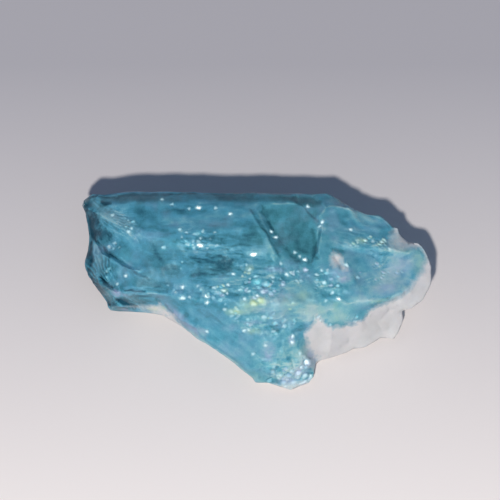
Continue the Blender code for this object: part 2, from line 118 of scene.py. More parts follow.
# Healed cracks, which look light, and edges and a step paled as painted light, set out in the same way.
VEILS_AND_LIT_EDGES = [
    # the left end: a lit edge, and the threads that leave the knot at its lower corner
    ([(-16.0, 4.7), (-15.8, 3.9), (-15.4, 2.3)], 0.14, 0.35),
    ([(-13.5, 3.4), (-12.5, 2.6), (-11.4, 1.9)], 0.13, 0.4),
    ([(-13.7, 0.6), (-13.6, 0.2), (-13.7, -0.2)], 0.12, 0.5),
    ([(-13.2, 0.4), (-11.6, 0.5), (-9.6, 0.3), (-8.0, 0.0)], 0.1, 0.3),
    ([(-12.8, -0.2), (-9.6, -0.2), (-7.8, -0.1)], 0.08, 0.35),
    ([(-13.3, -0.3), (-12.6, -0.8), (-11.8, -1.3)], 0.16, 0.45),
    ([(-12.4, -0.6), (-9.6, -0.7)], 0.1, 0.25),
    # either side of the strokes, and round the pane
    ([(-0.1, 8.3), (1.1, 6.1)], 0.14, 0.25),
    ([(0.1, 6.3), (0.8, 5.2), (1.9, 2.9)], 0.22, 0.25),
    ([(1.5, 8.8), (4.1, 8.7)], 0.07, 0.45),
    ([(6.1, 6.2), (6.1, 4.6), (6.2, 3.5)], 0.09, 0.35),
    # the right lobe: its lit top edge, its ridge, its lower lip, and painted light on the shaded riser of the
    # step across it
    ([(6.2, 7.6), (7.0, 8.4), (8.0, 8.6), (9.8, 8.0)], 0.12, 0.4),
    ([(8.4, 4.6), (9.8, 4.4), (11.2, 4.1)], 0.16, 0.22),
    ([(12.6, 4.2), (15.3, 3.8)], 0.12, 0.3),
    ([(9.1, -1.2), (10.5, -0.9), (12.0, -0.7), (13.3, -0.4)], 0.12, 0.35),
    ([(9.6, 2.2), (9.9, 1.4), (10.2, 0.4), (10.3, -0.9)], 0.16, 0.12),
    # the lower face's long edge
    ([(-9.0, -2.5), (-6.4, -4.1), (-4.6, -5.4), (-2.6, -6.8), (-1.0, -8.1), (0.0, -9.0)], 0.12, 0.5),
]
# Threads too many to place one by one: an oval zone, the way they run in degrees, how many there are, their
# length and half width in mm, and their strength. They are light, or dark where the strength is below 0.
THREADS = [
    ((-14.0, 7.0, 2.6, 1.1, -32), -34, 40, 1.5, 0.09, 0.36),
    ((-15.4, 2.8, 0.9, 2.4, 8), -70, 20, 1.4, 0.06, 0.26),
    ((-14.2, 1.2, 1.0, 1.2, 0), -78, 14, 0.8, 0.05, 0.26),
    ((-12.8, -0.8, 1.6, 0.5, -20), -24, 10, 0.9, 0.05, 0.4),
    ((-5.4, 4.8, 3.6, 1.8, 0), -4, 22, 1.0, 0.08, 0.3),
    ((-4.4, 3.8, 4.0, 1.8, 0), -3, 26, 1.5, 0.16, -0.26),
    ((-1.5, 0.8, 6.0, 1.8, 0), 0, 34, 0.8, 0.09, 0.34),
    ((-1.0, 1.0, 5.6, 1.6, 0), 0, 30, 0.9, 0.14, -0.32),
    ((-9.5, 3.0, 3.0, 3.4, 0), -20, 16, 1.4, 0.12, 0.14),
    ((-1.5, -5.0, 5.0, 1.8, -38), -38, 14, 1.6, 0.08, 0.14),
    ((3.0, -2.2, 4.6, 1.5, 0), 6, 24, 1.0, 0.09, 0.28),
    ((7.0, 1.0, 2.0, 1.8, 0), 10, 14, 0.8, 0.08, 0.34),
    ((12.8, 2.2, 3.4, 2.0, 14), 18, 22, 1.1, 0.08, 0.2),
    ((9.0, 6.2, 3.4, 1.6, -12), -12, 14, 1.2, 0.08, 0.2),
    ((11.6, 4.6, 3.0, 0.7, -8), -8, 12, 0.8, 0.08, 0.3),
    ((3.4, -7.8, 2.4, 1.6, 0), 10, 26, 0.8, 0.09, 0.42),
    ((-13.9, -0.5, 0.9, 0.8, 0), -60, 16, 0.5, 0.05, 0.35),
    ((-13.7, -0.9, 0.9, 0.7, 0), -40, 14, 0.5, 0.06, -1.1),
]
WAY_ASTRAY = 7  # degrees, the usual turn of a thread from its zone's way
HALF_LENGTHS = (0.3, 0.7)  # of a thread, against its zone's length
MOST_BEND = 0.18  # of its half length
HALF_WIDTHS = (0.6, 1.3)  # against its zone's half width
STRENGTHS = (0.4, 1.2)  # against its zone's strength
# The larger chips, each a small flat that flashes, set out as the splintered ovals are.
CHIPS = [
    # the left end
    (-14.3, 7.6, 0.16, 0.16, 0, 0.7), (-12.7, 6.0, 0.16, 0.16, 0, 0.7), (-12.4, 6.3, 0.13, 0.13, 0, 0.5),
    (-14.7, 4.5, 0.13, 0.15, 0, 0.7), (-14.1, 4.8, 0.16, 0.13, 0, 0.4), (-13.0, 1.6, 0.18, 0.15, 0, 0.9),
    (-13.8, 0.8, 0.11, 0.18, 0, 0.7), (-9.2, 4.4, 0.24, 0.16, 20, 0.55),
    # the long upper face
    (-9.4, 9.2, 0.22, 0.14, 0, 0.45), (-8.4, 8.7, 0.24, 0.14, 20, 0.3), (-6.7, 8.3, 0.15, 0.14, 0, 0.4),
    (-5.8, 8.4, 0.32, 0.22, 5, 1.0), (-4.1, 8.3, 0.18, 0.14, 0, 0.45), (-2.6, 7.7, 0.21, 0.15, 0, 0.8),
    (-7.6, 6.2, 0.22, 0.15, 30, 0.5), (-5.3, 6.0, 0.12, 0.24, -15, 0.7), (-5.8, 5.8, 0.17, 0.13, 0, 0.45),
    (-6.8, 4.7, 0.22, 0.18, -20, 0.5), (-6.2, 4.4, 0.2, 0.15, 0, 0.6), (-5.6, 4.6, 0.42, 0.21, 0, 1.0),
    (-3.9, 4.6, 0.18, 0.12, 10, 0.4), (-0.3, 3.7, 0.44, 0.2, 0, 1.0),
    # the splintered middle, from left to right
    (-7.3, 0.5, 0.22, 0.21, 0, 0.75), (-7.3, -0.6, 0.38, 0.16, 0, 0.7), (-6.6, -0.5, 0.17, 0.13, 0, 0.45),
    (-5.8, 0.6, 0.17, 0.16, 0, 0.4), (-4.9, -0.4, 0.33, 0.19, 0, 0.9), (-4.9, -1.0, 0.27, 0.2, 0, 0.9),
    (-4.2, 0.4, 0.24, 0.15, 0, 0.5), (-3.9, 0.0, 0.26, 0.17, 0, 0.6), (-3.3, 0.1, 0.21, 0.18, 0, 0.75),
    (-2.3, 1.8, 0.2, 0.19, 0, 0.8), (-1.0, 2.7, 0.15, 0.14, 0, 0.35), (-0.7, 2.2, 0.2, 0.24, -20, 0.5),
    (-1.6, 0.2, 0.24, 0.15, 15, 0.65), (0.1, 0.9, 0.24, 0.2, 0, 0.6), (0.9, 0.8, 0.2, 0.24, 0, 0.6),
    (0.7, 0.0, 0.3, 0.2, 0, 0.55), (-1.2, -0.7, 0.17, 0.24, 0, 0.55), (-0.3, -1.2, 0.3, 0.25, 0, 0.9),
    (0.4, -0.9, 0.24, 0.26, 0, 0.9), (1.6, 1.4, 0.16, 0.15, 0, 0.4),
    (2.4, 2.8, 0.2, 0.16, 0, 0.5), (3.0, 1.7, 0.16, 0.22, 30, 0.7), (3.4, 1.9, 0.18, 0.14, 0, 0.7),
    # the strokes, the pane and the splinters right of it
    (1.5, 6.0, 0.18, 0.16, 0, 0.7), (1.9, 5.4, 0.2, 0.16, 0, 0.8), (5.1, 8.5, 0.19, 0.19, 0, 0.85),
    (6.5, 6.9, 0.14, 0.26, -38, 0.75), (6.3, 6.5, 0.18, 0.13, 0, 0.5), (3.8, 3.9, 0.17, 0.17, 0, 0.6),
    (4.3, 3.5, 0.16, 0.15, 0, 0.55), (4.8, 3.2, 0.25, 0.18, -10, 0.95), (6.4, 2.1, 0.16, 0.16, 0, 0.55),
    (7.0, 2.1, 0.13, 0.22, -20, 0.7), (5.9, 1.0, 0.14, 0.18, 0, 0.45), (6.7, 0.9, 0.27, 0.2, 0, 0.65),
    (7.5, -0.1, 0.17, 0.16, 0, 0.7), (8.1, -0.7, 0.34, 0.26, 0, 1.0), (6.9, -0.9, 0.17, 0.15, 0, 0.45),
    # the right lobe and the ledge under it
    (9.4, 6.2, 0.22, 0.17, -30, 0.85), (10.0, 5.1, 0.18, 0.14, 0, 0.5), (10.8, 5.1, 0.2, 0.19, 0, 0.6),
    (12.5, 4.9, 0.27, 0.18, 20, 0.6), (13.2, 4.2, 0.18, 0.13, 0, 0.4), (8.9, 2.7, 0.2, 0.24, 30, 0.6),
    (9.8, -2.9, 0.22, 0.14, 0, 0.4), (7.3, -3.3, 0.16, 0.16, 0, 0.35),
    # the lower face and the bottom lobe
    (-4.9, -3.9, 0.18, 0.17, 0, 0.65), (-1.2, -3.8, 0.2, 0.17, 20, 0.7), (-0.8, -3.7, 0.16, 0.15, 0, 0.65),
    (2.8, -2.8, 0.17, 0.15, 0, 0.5), (0.9, -5.3, 0.18, 0.17, 0, 0.85), (3.5, -5.0, 0.22, 0.25, 0, 0.95),
    (3.6, -4.4, 0.18, 0.19, 0, 0.85), (-0.3, -6.1, 0.24, 0.18, 30, 0.5), (1.6, -8.0, 0.2, 0.2, 0, 0.4),
    (4.8, -6.6, 0.2, 0.22, 0, 0.85), (5.05, -7.0, 0.46, 0.42, 20, 1.0), (5.4, -8.5, 0.18, 0.26, 0, 0.9),
    (4.1, -8.4, 0.2, 0.25, -20, 0.8), (2.9, -8.7, 0.4, 0.22, 0, 0.95), (2.8, -9.4, 0.28, 0.16, 0, 0.75),
    (4.3, -6.1, 0.2, 0.16, 0, 0.6), (4.5, -7.5, 0.24, 0.18, 20, 0.7), (2.2, -8.3, 0.34, 0.16, 10, 0.6),
    (3.7, -9.0, 0.34, 0.2, 10, 0.7), (4.8, -9.0, 0.3, 0.16, 20, 0.65), (3.4, -9.8, 0.36, 0.14, 5, 0.7),
    (3.5, -7.9, 0.3, 0.16, 0, 0.5), (1.7, -7.5, 0.22, 0.2, 0, 0.4),
]
# The smaller chips, too many to place one by one: an oval zone, how many clumps of them there are, the
# strength they reach, the half width in mm of the widest, and the colour that most coloured ones flash,
# painted round them as a glint.
SPARKLES = [
    ((-5.8, 5.2, 2.0, 0.9, 0), 9, 0.42, 0.16, "cyan"), ((-4.4, 0.2, 3.4, 1.1, 0), 9, 0.48, 0.18, "cyan"),
    ((-1.2, 1.4, 3.0, 1.2, 0), 9, 0.46, 0.18, "lime"), ((0.8, 0.2, 2.4, 1.1, 0), 8, 0.54, 0.22, "lilac"),
    ((3.2, 1.6, 1.8, 1.0, 0), 6, 0.54, 0.22, "lilac"), ((6.8, 1.2, 1.2, 1.4, 0), 6, 0.48, 0.2, "cyan"),
    ((11.2, 5.0, 2.2, 0.6, -8), 7, 0.5, 0.16, "lime"), ((13.0, 2.4, 2.8, 1.6, 14), 7, 0.18, 0.14, "lilac"),
    ((1.0, -3.6, 3.2, 1.0, 0), 9, 0.42, 0.17, "cyan"), ((3.6, -8.7, 2.4, 0.9, 8), 11, 0.52, 0.26, "lilac"),
    ((-12.8, 6.5, 1.8, 0.7, -32), 2, 0.3, 0.12, "cyan"), ((-14.8, 2.4, 1.2, 2.6, 0), 4, 0.28, 0.12, "cyan"),
    ((4.0, -2.2, 4.0, 0.9, 0), 8, 0.34, 0.16, "lime"), ((-9.4, 1.8, 2.4, 2.0, 0), 3, 0.18, 0.13, "cyan"),
    ((9.6, -2.2, 2.4, 0.7, 0), 3, 0.26, 0.14, "cyan"), ((-2.0, -1.9, 1.1, 0.4, 0), 5, 0.36, 0.2, "lime"),
]
CLUMP = (0.70, 0.50, 0)  # mm, half the length and width of a clump, and its turn
MOST_IN_CLUMP = 3
SHARES_OF_WIDEST = (0.45, 1.0)
LENGTH_TO_WIDTH = (1.0, 1.6)
MOST_TURN = 30  # degrees
BRIGHTEST = 1.4  # against the strength set for a zone
SHARES_OF_BRIGHTEST = (0.3, 1.0)  # before they are squared, which leaves most far fainter
COLOUR_SHARES = (0.35, 0.10, 0.10, 0.45)  # of a zone's own colour, of cyan, of lilac, and of none
TOWARDS_MIDDLE = 0.6  # 0.5 would spread places evenly, and more draws them to the middle


def scattered(zone, count):
    """Random places in an oval zone on the sheet, closer together towards its middle."""
    at_u, at_v, half_length, half_width, turn = zone
    turned = math.radians(turn)
    reach = draw.random(count) ** TOWARDS_MIDDLE
    around = draw.random(count) * math.tau
    along, across = reach * np.cos(around) * half_length, reach * np.sin(around) * half_width
    cosine, sine = math.cos(turned), math.sin(turned)
    return [(at_u + a * cosine - b * sine, at_v + a * sine + b * cosine) for a, b in zip(along, across)]


dark_threads, light_threads = [], []
for zone, way, count, length, half_width, strength in THREADS:
    for at_u, at_v in scattered(zone, count):
        turned = math.radians(way + draw.normal() * WAY_ASTRAY)
        reach = length * draw.uniform(*HALF_LENGTHS)
        bend = draw.uniform(-MOST_BEND, MOST_BEND)
        du, dv = reach * math.cos(turned), reach * math.sin(turned)
        thread = [(at_u - du, at_v - dv), (at_u - bend * dv, at_v + bend * du), (at_u + du, at_v + dv)]
        kept = light_threads if strength > 0 else dark_threads
        width = half_width * draw.uniform(*HALF_WIDTHS)
        kept.append((thread, width, abs(strength) * draw.uniform(*STRENGTHS)))
sparkles, sparkle_colours = [], []
for zone, count, strength, widest, colour in SPARKLES:
    for middle in scattered(zone, count):
        for at_u, at_v in scattered((*middle, *CLUMP), draw.integers(1, MOST_IN_CLUMP + 1)):
            size = widest * draw.uniform(*SHARES_OF_WIDEST)
            length = size * draw.uniform(*LENGTH_TO_WIDTH)
            spot = (at_u, at_v, length, size, draw.uniform(-MOST_TURN, MOST_TURN))
            sparkles.append((*spot, strength * BRIGHTEST * draw.uniform(*SHARES_OF_BRIGHTEST) ** 2))
            sparkle_colours.append(draw.choice([colour, "cyan", "lilac", "none"], p=COLOUR_SHARES))


def drawn(places):
    """(u, v, w) of places in mm: across and up the sheet, and out from it."""
    low = np.array(cad_low) / MM
    plan_v = places[:, 1] - low[1] + SHEET_NEAR
    cosine, sine = math.cos(SHEET_TILT), math.sin(SHEET_TILT)
    return (
        places[:, 0] - low[0] + SHEET_LEFT,
        plan_v * cosine + places[:, 2] * sine,
        places[:, 2] * cosine - plan_v * sine,
    )


def patch(u, v, spot, soft=0.5):
    """How far each place lies in an oval patch: 1 inside, falling to 0 at its edge over the soft share."""
    at_u, at_v, half_length, half_width, turn = spot[:5]
    turned = math.radians(turn)
    along = (u - at_u) * math.cos(turned) + (v - at_v) * math.sin(turned)
    across = (v - at_v) * math.cos(turned) - (u - at_u) * math.sin(turned)
    return np.clip((1 - np.hypot(along / half_length, across / half_width)) / soft, 0, 1)


def patches(u, v, spots, soft=0.5, margin=0.0):
    """The strongest of several oval patches at each place, each grown by a margin in mm."""
    found = np.zeros(len(u))
    for at_u, at_v, half_length, half_width, turn, strength in spots:
        spot = (at_u, at_v, half_length + margin, half_width + margin, turn)
        found = np.maximum(found, patch(u, v, spot, soft) * strength)
    return found


def beside(u, v, line):
    """How far each place is from a line on the sheet, in mm, and how far along the line that is, 0 to 1."""
    nearest = np.full(len(u), np.inf)
    reached = np.zeros(len(u))
    gone = 0.0
    for (au, av), (bu, bv) in zip(line, line[1:]):
        du, dv = bu - au, bv - av
        length = math.hypot(du, dv)
        along = np.clip(((u - au) * du + (v - av) * dv) / length**2, 0, 1)
        distance = np.hypot(u - au - along * du, v - av - along * dv)
        reached = np.where(distance < nearest, gone + along * length, reached)
        nearest = np.minimum(nearest, distance)
        gone += length
    return nearest, reached / gone


LINE_ENDS = 0.35  # how wide a line is at its ends, against its middle
LINE_REACH = 3  # half widths, past which a line leaves no mark


def lines(u, v, marks):
    """How strongly lines of given half width mark each place: they fade to both ends and to their sides."""
    total = np.zeros(len(u))
    for line, half_width, strength in marks:
        left, low = np.min(line, axis=0) - LINE_REACH * half_width
        right, high = np.max(line, axis=0) + LINE_REACH * half_width
        near = np.flatnonzero((u > left) & (u < right) & (v > low) & (v < high))
        distance, reached = beside(u[near], v[near], line)
        bulge = np.clip(np.sin(reached * math.pi), 0, 1) ** 0.5
        waist = half_width * (LINE_ENDS + (1 - LINE_ENDS) * bulge)
        total[near] = np.maximum(total[near], strength * np.exp(-((distance / waist) ** 2)))
    return total


shape = bmesh.new()
shape.from_mesh(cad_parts["quartz"].data)
bmesh.ops.remove_doubles(shape, verts=shape.verts, dist=SAME_PLACE * MM)
for edge in shape.edges:
    edge.smooth = edge.calc_face_angle(0.0) < SHARP_EDGE
for longest in (*LONGEST_EDGES, FINEST_EDGE):
    edges = list(shape.edges)
    long = np.array([e.calc_length() > longest * MM for e in edges])
    middles = np.array([(e.verts[0].co + e.verts[1].co) / 2 for e in edges]) / MM
    long &= middles[:, 2] > LOWEST_HALVED
    if longest == FINEST_EDGE:
        u, v, w = drawn(middles)
        facing = np.array([sum(f.normal.z for f in e.link_faces) for e in edges])
        fine = patches(u, v, SPLINTERED) + patches(u, v, CHIPS + sparkles, margin=ROUND_CHIPS)
        fine += lines(u, v, CRACKS + VEILS_AND_LIT_EDGES + dark_threads + light_threads) > FAINTEST_LINE
        long &= (fine > 0) & (facing > LEAST_FACING_UP)
    halved = [edges[i] for i in np.flatnonzero(long)]
    bmesh.ops.subdivide_edges(shape, edges=halved, cuts=1, use_grid_fill=True)
    bmesh.ops.triangulate(shape, faces=shape.faces[:])
    shape.normal_update()

stone_mesh = bpy.data.meshes.new("aura_quartz")
shape.to_mesh(stone_mesh)
shape.free()


def mesh_numbers(items, name, width, kind=float):
    """One property of all a mesh's vertices, edges or polygons as an array."""
    found = np.zeros(len(items) * width, kind)
    items.foreach_get(name, found)
    return found.reshape(-1, width) if width > 1 else found


def outward(places, corners):
    """The unit normal at each vertex, from the triangles around it."""
    a, b, c = places[corners].transpose(1, 0, 2)
    faces = np.cross(b - a, c - a)
    total = np.zeros_like(places)
    for i in range(3):
        for axis in range(3):
            total[:, axis] += np.bincount(corners[:, i], faces[:, axis], len(places))
    return total / np.maximum(np.linalg.norm(total, axis=1), 1e-12)[:, None]


def mean_beside(values, sides):
    """For each vertex, the mean of a value over the vertices its edges lead to."""
    starts, stops = np.vstack([sides, sides[:, ::-1]]).T
    total = np.column_stack([np.bincount(starts, column[stops], len(values)) for column in values.T])
    return total / np.maximum(np.bincount(starts, minlength=len(values)), 1)[:, None]


SOFTENED = [  # folds too soft to hold a sharp edge
    (5.4, -5.2, 1.3, 1.5, 15), (10.0, 0.6, 1.3, 2.6, 0), (-5.0, -0.9, 4.4, 0.9, 0), (-9.0, 6.1, 3.4, 1.0, -3),
    (-3.0, 4.6, 4.4, 1.1, -15), (1.6, -0.9, 7.0, 0.9, 0), (-4.0, 9.15, 12.0, 0.3, 0),
    (5.3, 8.5, 1.3, 0.45, -25), (10.0, 4.4, 2.2, 0.6, -8), (-3.1, 2.7, 1.3, 1.1, 0),
]
RESTING = 0.02  # mm, lower corners of triangles lie on the bed and stay there
EVENING_ROUNDS = 30
EVENING_SHARE = 0.5  # of the way from each corner to the middle of its neighbours
CREASE_ROUNDS = 5
CREASE_SHARE = 0.4  # the same along a sharp edge
places = mesh_numbers(stone_mesh.vertices, "co", 3) / MM
sides = mesh_numbers(stone_mesh.edges, "vertices", 2, int)
corners = np.array([tuple(p.vertices) for p in stone_mesh.polygons])
creases = sides[mesh_numbers(stone_mesh.edges, "use_edge_sharp", 1, bool)]
on_crease = np.bincount(creases.ravel(), minlength=len(places))
on_bed = places[:, 2] < RESTING
u, v, w = drawn(places)
for spot in SOFTENED:
    on_crease[patch(u, v, spot) > 0] = 0
for _ in range(EVENING_ROUNDS):
    share = np.where((on_crease > 0) | on_bed, 0.0, EVENING_SHARE)[:, None]
    places += share * (mean_beside(places, sides) - places)
for _ in range(CREASE_ROUNDS):
    share = np.where((on_crease == 2) & ~on_bed, CREASE_SHARE, 0.0)[:, None]
    places += share * (mean_beside(places, creases) - places)
u, v, w = drawn(places)
normals = outward(places, corners)

# The broken surface. Hollow flake scars of several sizes, hackles that fan out across the left end, ripples
# in the right lobe, cracks and healed veils, and small flat chips that flash where they face the lamp.
FLAKES = [
    # size and depth in mm of the hollows, and how much of them shows on whole and on splintered quartz
    (2.6, 0.060, 0.8, 0.8), (1.2, 0.040, 0.35, 1.0), (0.55, 0.026, 0.08, 1.0), (0.30, 0.014, 0.05, 0.9),
]
RIPPLES = [
    # u, v, first and last radius, wave length and height, all in mm
    (8.6, 4.2, 1.2, 8.8, 0.95, 0.018), (12.4, 9.6, 1.6, 5.6, 0.8, 0.022),
    (-17.2, -1.6, 6.6, 13.5, 1.3, 0.026), (-3.0, 14.0, 4.6, 9.0, 1.1, 0.018),
]
HACKLES = [
    # u and v of the root, first and last angle in degrees, reach in mm, number and height of the ridges
    (-13.9, -0.1, 95, 262, 5.4, 26, 0.05), (-13.9, -0.1, -50, 12, 4.6, 11, 0.04),
    (-17.3, 8.4, -62, 5, 6.4, 18, 0.045),
]
FAN_SIDES = 12  # a fan of hackles fades out over one part in this many at each side
FAN_ROOT = 0.9  # mm, and over this much at its root
HACKLE_SWAY = 0.3  # of the space between two ridges
SWAY_RATE = 2.1  # radians in each mm
CRACK_DEPTH = 0.08  # mm, at full strength
VEIL_HEIGHT = 0.03
MOST_RELIEF = (-0.34, 0.20)  # mm, the deepest and the highest
FACING_UP = (-0.15, 0.15)  # the normals' upward part, where marks begin and are whole
RISING_FROM_BED = (0.1, 0.9)  # mm over the bed, the same for the relief
# Smooth random swells: the size of each in mm, and how much it adds at most.
ASTRAY = [(0.9, 0.10), (0.35, 0.05)]  # mm, to where marks lie
RAGGED = [(0.35, 0.06), (0.15, 0.07)]  # mm, to the outlines of chips
MARK_STRENGTH = 0.75  # of cracks, veils and threads, before swells
MARK_SWELLS = [(0.5, 0.35)]
CHIP_MARGIN = 0.06  # mm, for a chip's soft edge
CHIP_EDGE = 0.55  # the soft share of a chip
FLAT_FROM = 0.5  # a chip is quite flat where it is at least this strong
SHARP_BREAK = math.radians(38)
LAMP_WAY = Vector((-0.10, -0.53, 0.82))  # from the middle of the view to the lamp
LAMP_DISTANCE = 0.60
EYE_HEIGHT = math.radians(70)  # over the horizon, square to the sheet
AIM = Vector((-0.60, 4.07, 4.5)) * MM  # the middle of the view
LAMP = AIM + LAMP_WAY.normalized() * LAMP_DISTANCE
TO_EYE = Vector((0, -math.cos(EYE_HEIGHT), math.sin(EYE_HEIGHT)))
SCAR_LEAN = 0.3  # how far a scar is tilted, as a share of its size
SCAR_SPAN = 0.25  # the squared distance over which a scar of size 1 rises by its depth


def scars(places, size, depth):
    """Heights in mm of a surface that hollow flakes have sprung off, from random middles one in each cell."""
    cells = np.floor(places / size).astype(int)
    first = cells.min(axis=0) - 1
    cells -= first
    spot = draw.random((*(cells.max(axis=0) + 2), 3))
    lean = draw.uniform(-1, 1, spot.shape) * size * SCAR_LEAN
    lowest = np.full(len(places), np.inf)
    for step in np.ndindex(3, 3, 3):
        near = cells + np.array(step) - 1
        x, y, z = near.T
        away = places - (near + first + spot[x, y, z]) * size
        lowest = np.minimum(lowest, (away**2).sum(axis=1) + (away * lean[x, y, z]).sum(axis=1))
    return (lowest - lowest.mean()) / size**2 / SCAR_SPAN * depth


def rolling(places, size):
    """Smooth random numbers from -1 to 1 that roll over a given size in mm."""
    cells = places / size
    low = np.floor(cells).astype(int)
    part = cells - low
    part = part * part * (3 - 2 * part)
    low -= low.min(axis=0)
    heights = draw.uniform(-1, 1, tuple(low.max(axis=0) + 2))
    total = np.zeros(len(places))
    for step in np.ndindex(2, 2, 2):
        x, y, z = (low + np.array(step)).T
        total += heights[x, y, z] * np.prod(np.where(np.array(step) == 1, part, 1 - part), axis=1)
    return total


def swelled(values, swells):
    """Values with smooth random swells added, each given by its size in mm and its height."""
    for size, height in swells:
        values = values + rolling(places, size) * height
    return values


def rise(values, low, high):
    """How far each value has come from low to high, 0 to 1."""
    return np.clip((values - low) / (high - low), 0, 1)


above = rise(normals[:, 2], *FACING_UP)
splintered = patches(u, v, SPLINTERED, soft=0.7) * above
clear_of_bed = rise(places[:, 2], *RISING_FROM_BED)
astray_u = swelled(u, ASTRAY)
astray_v = swelled(v, ASTRAY)
broken = swelled(MARK_STRENGTH, MARK_SWELLS)
opened = lines(astray_u, astray_v, CRACKS) * broken * above
veils_and_lit_edges = np.maximum(lines(astray_u, astray_v, VEILS_AND_LIT_EDGES), lines(u, v, light_threads)) * broken * above
relief = veils_and_lit_edges * VEIL_HEIGHT - opened * CRACK_DEPTH
for size, depth, on_whole, on_splintered in FLAKES:
    relief += scars(places, size, depth) * (on_whole + (on_splintered - on_whole) * splintered)
for at_u, at_v, first, last, wave, height in RIPPLES:
    radius = np.hypot(u - at_u, v - at_v)
    swell = np.clip((radius - first) * (last - radius) * 4 / (last - first) ** 2, 0, 1)
    relief += height * swell * np.sin(radius / wave * math.tau) * above
fanned = np.zeros(len(places))
for at_u, at_v, first, last, reach, count, height in HACKLES:
    radius = np.hypot(astray_u - at_u, astray_v - at_v)
    angle = np.degrees(np.arctan2(astray_v - at_v, astray_u - at_u)) % 360
    angle = np.where(angle > last % 360 + 1, angle - 360, angle) if first < 0 else angle
    part_of_fan = (angle - first) / (last - first)
    inside = np.clip(np.minimum(part_of_fan, 1 - part_of_fan) * FAN_SIDES, 0, 1)
    fade = inside * rise(radius, 0, FAN_ROOT) * rise(reach - radius, 0, reach / 2)
    across = part_of_fan * count + HACKLE_SWAY * np.sin(radius * SWAY_RATE)
    ridge = np.abs(across % 1 - 0.5) * 4 - 1  # a zigzag from -1 to 1
    relief += height * fade * ridge * above
    fanned += fade * ridge * above
places += normals * (np.clip(relief, *MOST_RELIEF) * clear_of_bed)[:, None]

# How strongly each chip flashes: it sets the coat there, and a painted glint, a pale colour laid on the chip.
coat_and_painted_glint = np.zeros(len(places))
ragged_u = swelled(u, RAGGED)
ragged_v = swelled(v, RAGGED)
for *spot, strength in CHIPS + sparkles:
    spot[2:4] = spot[2] + CHIP_MARGIN, spot[3] + CHIP_MARGIN
    chip = patch(ragged_u, ragged_v, spot, soft=CHIP_EDGE) * (above > 0.5)
    if chip.max() == 0:
        continue
    middle = np.average(places, axis=0, weights=chip)
    to_lamp = (LAMP - Vector(middle * MM)).normalized()
    half_way = np.array((to_lamp + TO_EYE).normalized())
    places += np.outer(((middle - places) @ half_way) * np.clip(chip / FLAT_FROM, 0, 1), half_way)
    coat_and_painted_glint = np.maximum(coat_and_painted_glint, chip * strength)

places = np.clip(places, np.array(cad_low) / MM, np.array(cad_high) / MM)
stone_mesh.vertices.foreach_set("co", (places * MM).ravel())
stone_mesh.update()
stone_mesh.shade_smooth()
stone_mesh.set_sharp_from_angle(angle=SHARP_BREAK)

scene = bpy.context.scene
stone = bpy.data.objects.new("aura_quartz", stone_mesh)
scene.collection.objects.link(stone)

# The film. Metal vapour laid on the upper side in a vacuum: deep blue-green on the left, thinner and lighter
# to the right and near the bottom lobe. The right rim, the apron below it and the underside stayed bare and
# milky.
EDGE_OF_FILM = [
    # round the bottom lobe and along the ledge
    (7.4, -11.0), (7.0, -8.4), (6.3, -7.1), (5.5, -6.1), (5.1, -5.4), (4.7, -4.2), (5.2, -3.4), (6.1, -2.4),
    (7.4, -3.6), (8.6, -3.4), (9.7, -3.3), (10.7, -2.7), (11.1, -1.8), (13.1, -1.0), (14.3, -0.4),
    # up the rim to the bare notch, and round the back
    (15.3, 0.4), (16.5, 2.1), (17.05, 3.4), (16.6, 4.5), (14.3, 4.35), (13.7, 4.75), (13.8, 5.9),
    (15.2, 12.0),
    # down the left end, and along the lower face
    (-20.0, 12.0), (-20.0, -3.0), (-15.0, -2.6), (-14.1, -1.8), (-12.2, -1.6), (-9.6, -1.35), (-8.2, -2.6),
    (-5.0, -6.0), (-0.4, -10.4), (2.0, -11.4),
]
# How that edge frays and softens, and where the film stops above the bed.
FRAYED = [(1.4, 0.25), (0.5, 0.20), (0.22, 0.14)]  # swells in mm
STEADIER = 0.7  # how much less it frays on the rim and along the low left edge
ON_RIM = (10, 12)  # mm along u, where that begins and is whole
LOW_LEFT = (-12.2, -1.8, 4.0, 1.2, 0)
SOFT_EDGE = 0.8  # mm
SOFTER = [(13.9, 5.1, 1.6, 1.6, 0, 1.8), (15.6, 1.4, 2.4, 3.4, -30, 0.3)]  # and how many mm they add
OFF_THE_BED = (0.3, 1.5)  # mm over the bed, where the film begins and is whole
NOT_UNDER = (-0.9, -0.6)  # the same for the normals' upward part
ON_LEFT_END = (12, 14)  # mm left of the middle, where the film runs down to the bed
FAR_LEFT = (14, 16)
BARE_CHIPS = [
    (7.9, 3.2, 1.0, 1.3, 30, 0.9), (8.6, 2.4, 0.8, 0.6, -20, 0.6), (5.9, -3.4, 0.5, 0.6, 0, 0.5),
]
FILMED_FLECKS = [(11.0, -1.2, 1.0, 0.8, 10), (10.4, -2.6, 0.7, 0.5, 0), (-13.0, -1.9, 4.5, 1.1, -3)]
FLECK_FILM = 0.95
